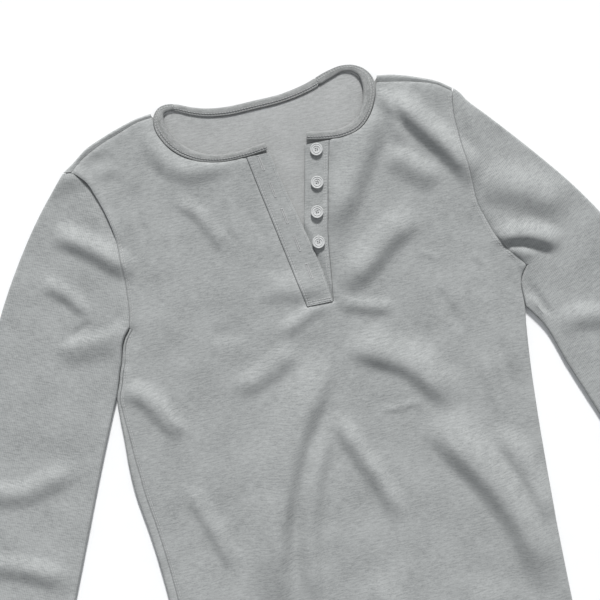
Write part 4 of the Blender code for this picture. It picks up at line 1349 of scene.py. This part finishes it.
def sew(name, rows, material):
    """Rows of stitches as one piece; a row is line, height function, length, gap, radius."""
    points, faces = [], []
    for line, height_of, length, gap, radius in rows:
        middles = walk(line, length + gap)
        if len(middles) < 2:
            continue
        ways = np.gradient(middles, axis=0)
        ways /= np.linalg.norm(ways, axis=1)[:, None]
        starts, ends = middles - ways * length / 2, middles + ways * length / 2
        lows, highs = height_of(starts), height_of(ends)
        for a, b, low, high in zip(starts, ends, lows, highs):
            bead(np.array((*a, low)), np.array((*b, high)), radius, points, faces)
    places = [[(0.0, 0.0)] * len(face) for face in faces]
    return make_piece(name, points, faces, places, [material])


def on_piece(piece, seams=(), lift=0.1):
    return lambda points: piece_height(points, piece, seams) + lift


def on_strip(button_strip, lift=0.1):
    return lambda points: strip_height(points[:, 0], points[:, 1], button_strip) + lift


def on_band(across, section_height):
    """A line on the band at a share of its half width, and its height there."""
    line, normals, _ = band_lines()
    places = line[:, :2] + normals * (line[:, 2] / 2 * across)[:, None]
    levels = line[:, 3] + section_height * BAND_THICK / 2

    def height_of(points):
        gaps = np.linalg.norm(points[:, None] - places[None], axis=2)
        return levels[gaps.argmin(1)]

    return places, height_of


def between(line, low, high):
    """The part of a line between two heights of y."""
    line = np.asarray(line)[:, :2]
    return line[(line[:, 1] > low) & (line[:, 1] < high)]


front_share = band_lines()[2] > 0.5
edge_line, edge_height = on_band(np.where(front_share, 0.66, -0.66), 0.55)
row_line, row_height = on_band(np.where(front_share, 0.30, -0.30), 1.0)
neck_stitches = sew("stitches_neck", [
    (edge_line, edge_height, 2.1, 0.5, 0.30),
    (row_line, row_height, 2.1, 0.5, 0.26),
], light_thread)

STRIP_ROWS = [
    # edge's column in the placket table, way into the strip, on the button strip, inset, radius
    (0, 1, False, 2.0, 0.24), (0, 1, False, 3.6, 0.24),
    (4, -1, True, 2.0, 0.24), (4, -1, True, 3.6, 0.24),
    (2, -1, False, 1.8, 0.22),
]
FOOT_ROWS = (-191.6, -193.6)
strip_rows = [(plan.placket[:, [column, 1]] + (way * inset, 0), on_strip(is_button), 2.0, 0.6, radius)
              for column, way, is_button, inset, radius in STRIP_ROWS]
foot_left, foot_right = plan.placket[-1, 0], plan.placket[-1, 4]
for y in FOOT_ROWS:
    strip_rows.append((np.array([(foot_left + 1, y), (foot_right - 1, y)]),
                       on_strip(False, 0.25), 2.0, 0.5, 0.26))
placket_stitches = sew("stitches_placket", strip_rows, light_thread)

TWIN_ROWS = (1.7, 3.3)
BODY_SEAMS = [
    # seam, side that the rows lie on, lowest y, highest y, radius
    (plan.body_armhole_left, 1, -178, -70, 0.24),
    (plan.side_left_seam, -1, -600, -182, 0.22),
    (plan.body_armhole_right, -1, -198, -30, 0.22),
]
body_rows = [(between(beside(seam, side * shift), low, high), on_piece("front", front_seams),
              2.1, 0.6, radius)
             for shift in TWIN_ROWS for seam, side, low, high, radius in BODY_SEAMS]
body_stitches = sew("stitches_body", body_rows, light_thread)
print("Stitch pieces:", triangles(neck_stitches), triangles(placket_stitches),
      triangles(body_stitches), "triangles")

# %% [markdown]
# ## Buttonholes
#
# Five upright buttonholes, 13 mm long, are worked on the buttonhole strip: a dark slit
# between two columns of close satin stitches, with a bar across each end.

# %% Buttonholes
BUTTONHOLES = [(-15.5, -58.0), (-10.0, -84.0), (-4.2, -110.0), (1.8, -137.0), (7.2, -164.0)]
HOLE_HALF = 6.5
HOLE_SIDE = 0.75
HOLE_LEAN = 0.17
SATIN_STEP = 0.42
SATIN_HALF = 0.62
SATIN_RADIUS = 0.2
SATIN_LIFT = 0.12
BAR_PAST_END = 0.5
BAR_HALF = 1.4
BAR_RADIUS = 0.3
BAR_LIFT = 0.16


def across_stitch(x, y, half, radius, lift, points, faces):
    """One stitch across the buttonhole strip, level from end to end."""
    top = strip_height(np.array([x]), np.array([y]), False)[0] + lift
    bead(np.array((x - half, y, top)), np.array((x + half, y, top)), radius, points, faces)


def make_buttonholes():
    points, faces = [], []
    for x, y in BUTTONHOLES:
        for down in np.arange(-HOLE_HALF, HOLE_HALF + 0.01, SATIN_STEP):
            for side in (-1, 1):
                across_stitch(x - HOLE_LEAN * down + side * HOLE_SIDE, y + down,
                              SATIN_HALF, SATIN_RADIUS, SATIN_LIFT, points, faces)
        for end in (-1, 1):
            down = end * (HOLE_HALF + BAR_PAST_END)
            across_stitch(x - HOLE_LEAN * down, y + down,
                          BAR_HALF, BAR_RADIUS, BAR_LIFT, points, faces)
    places = [[(0.0, 0.0)] * len(face) for face in faces]
    return make_piece("buttonholes", points, faces, places, [light_thread])


buttonholes = make_buttonholes()
print("Buttonholes:", len(BUTTONHOLES), "with", triangles(buttonholes), "triangles")

# %% [markdown]
# ## Join the pieces to the frame
#
# Every piece rides on the row's one body and stands for its CAD solid. The cloth area of each
# knit piece is printed.

# %% Ride and replace
KNIT_PIECES = [
    # piece, node it stands for, slot
    (front, "front", "knit"), (back, "back", "knit_inside"),
    (sleeve_left, "sleeve_left", "knit"), (sleeve_right, "sleeve_right", "knit"),
    (band, "neck_binding", "binding"), (hole_strip, "placket_buttonhole", "knit"),
    (button_strip, "placket_button", "knit"),
]
for piece, node, slot in KNIT_PIECES:
    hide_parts(node)
    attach(piece, "root")
for number, button in enumerate(buttons, start=1):
    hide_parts(f"button_{number}")
    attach(button, "root")
for piece in (neck_stitches, placket_stitches, body_stitches, buttonholes):
    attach(piece, "root")

for piece, _, _ in KNIT_PIECES:
    area = sum(face.area for face in piece.data.polygons) / 2
    print(piece.name, "cloth area", round(area, 5), "square metres")

print("Pieces:", len(KNIT_PIECES) + len(buttons) + 4)
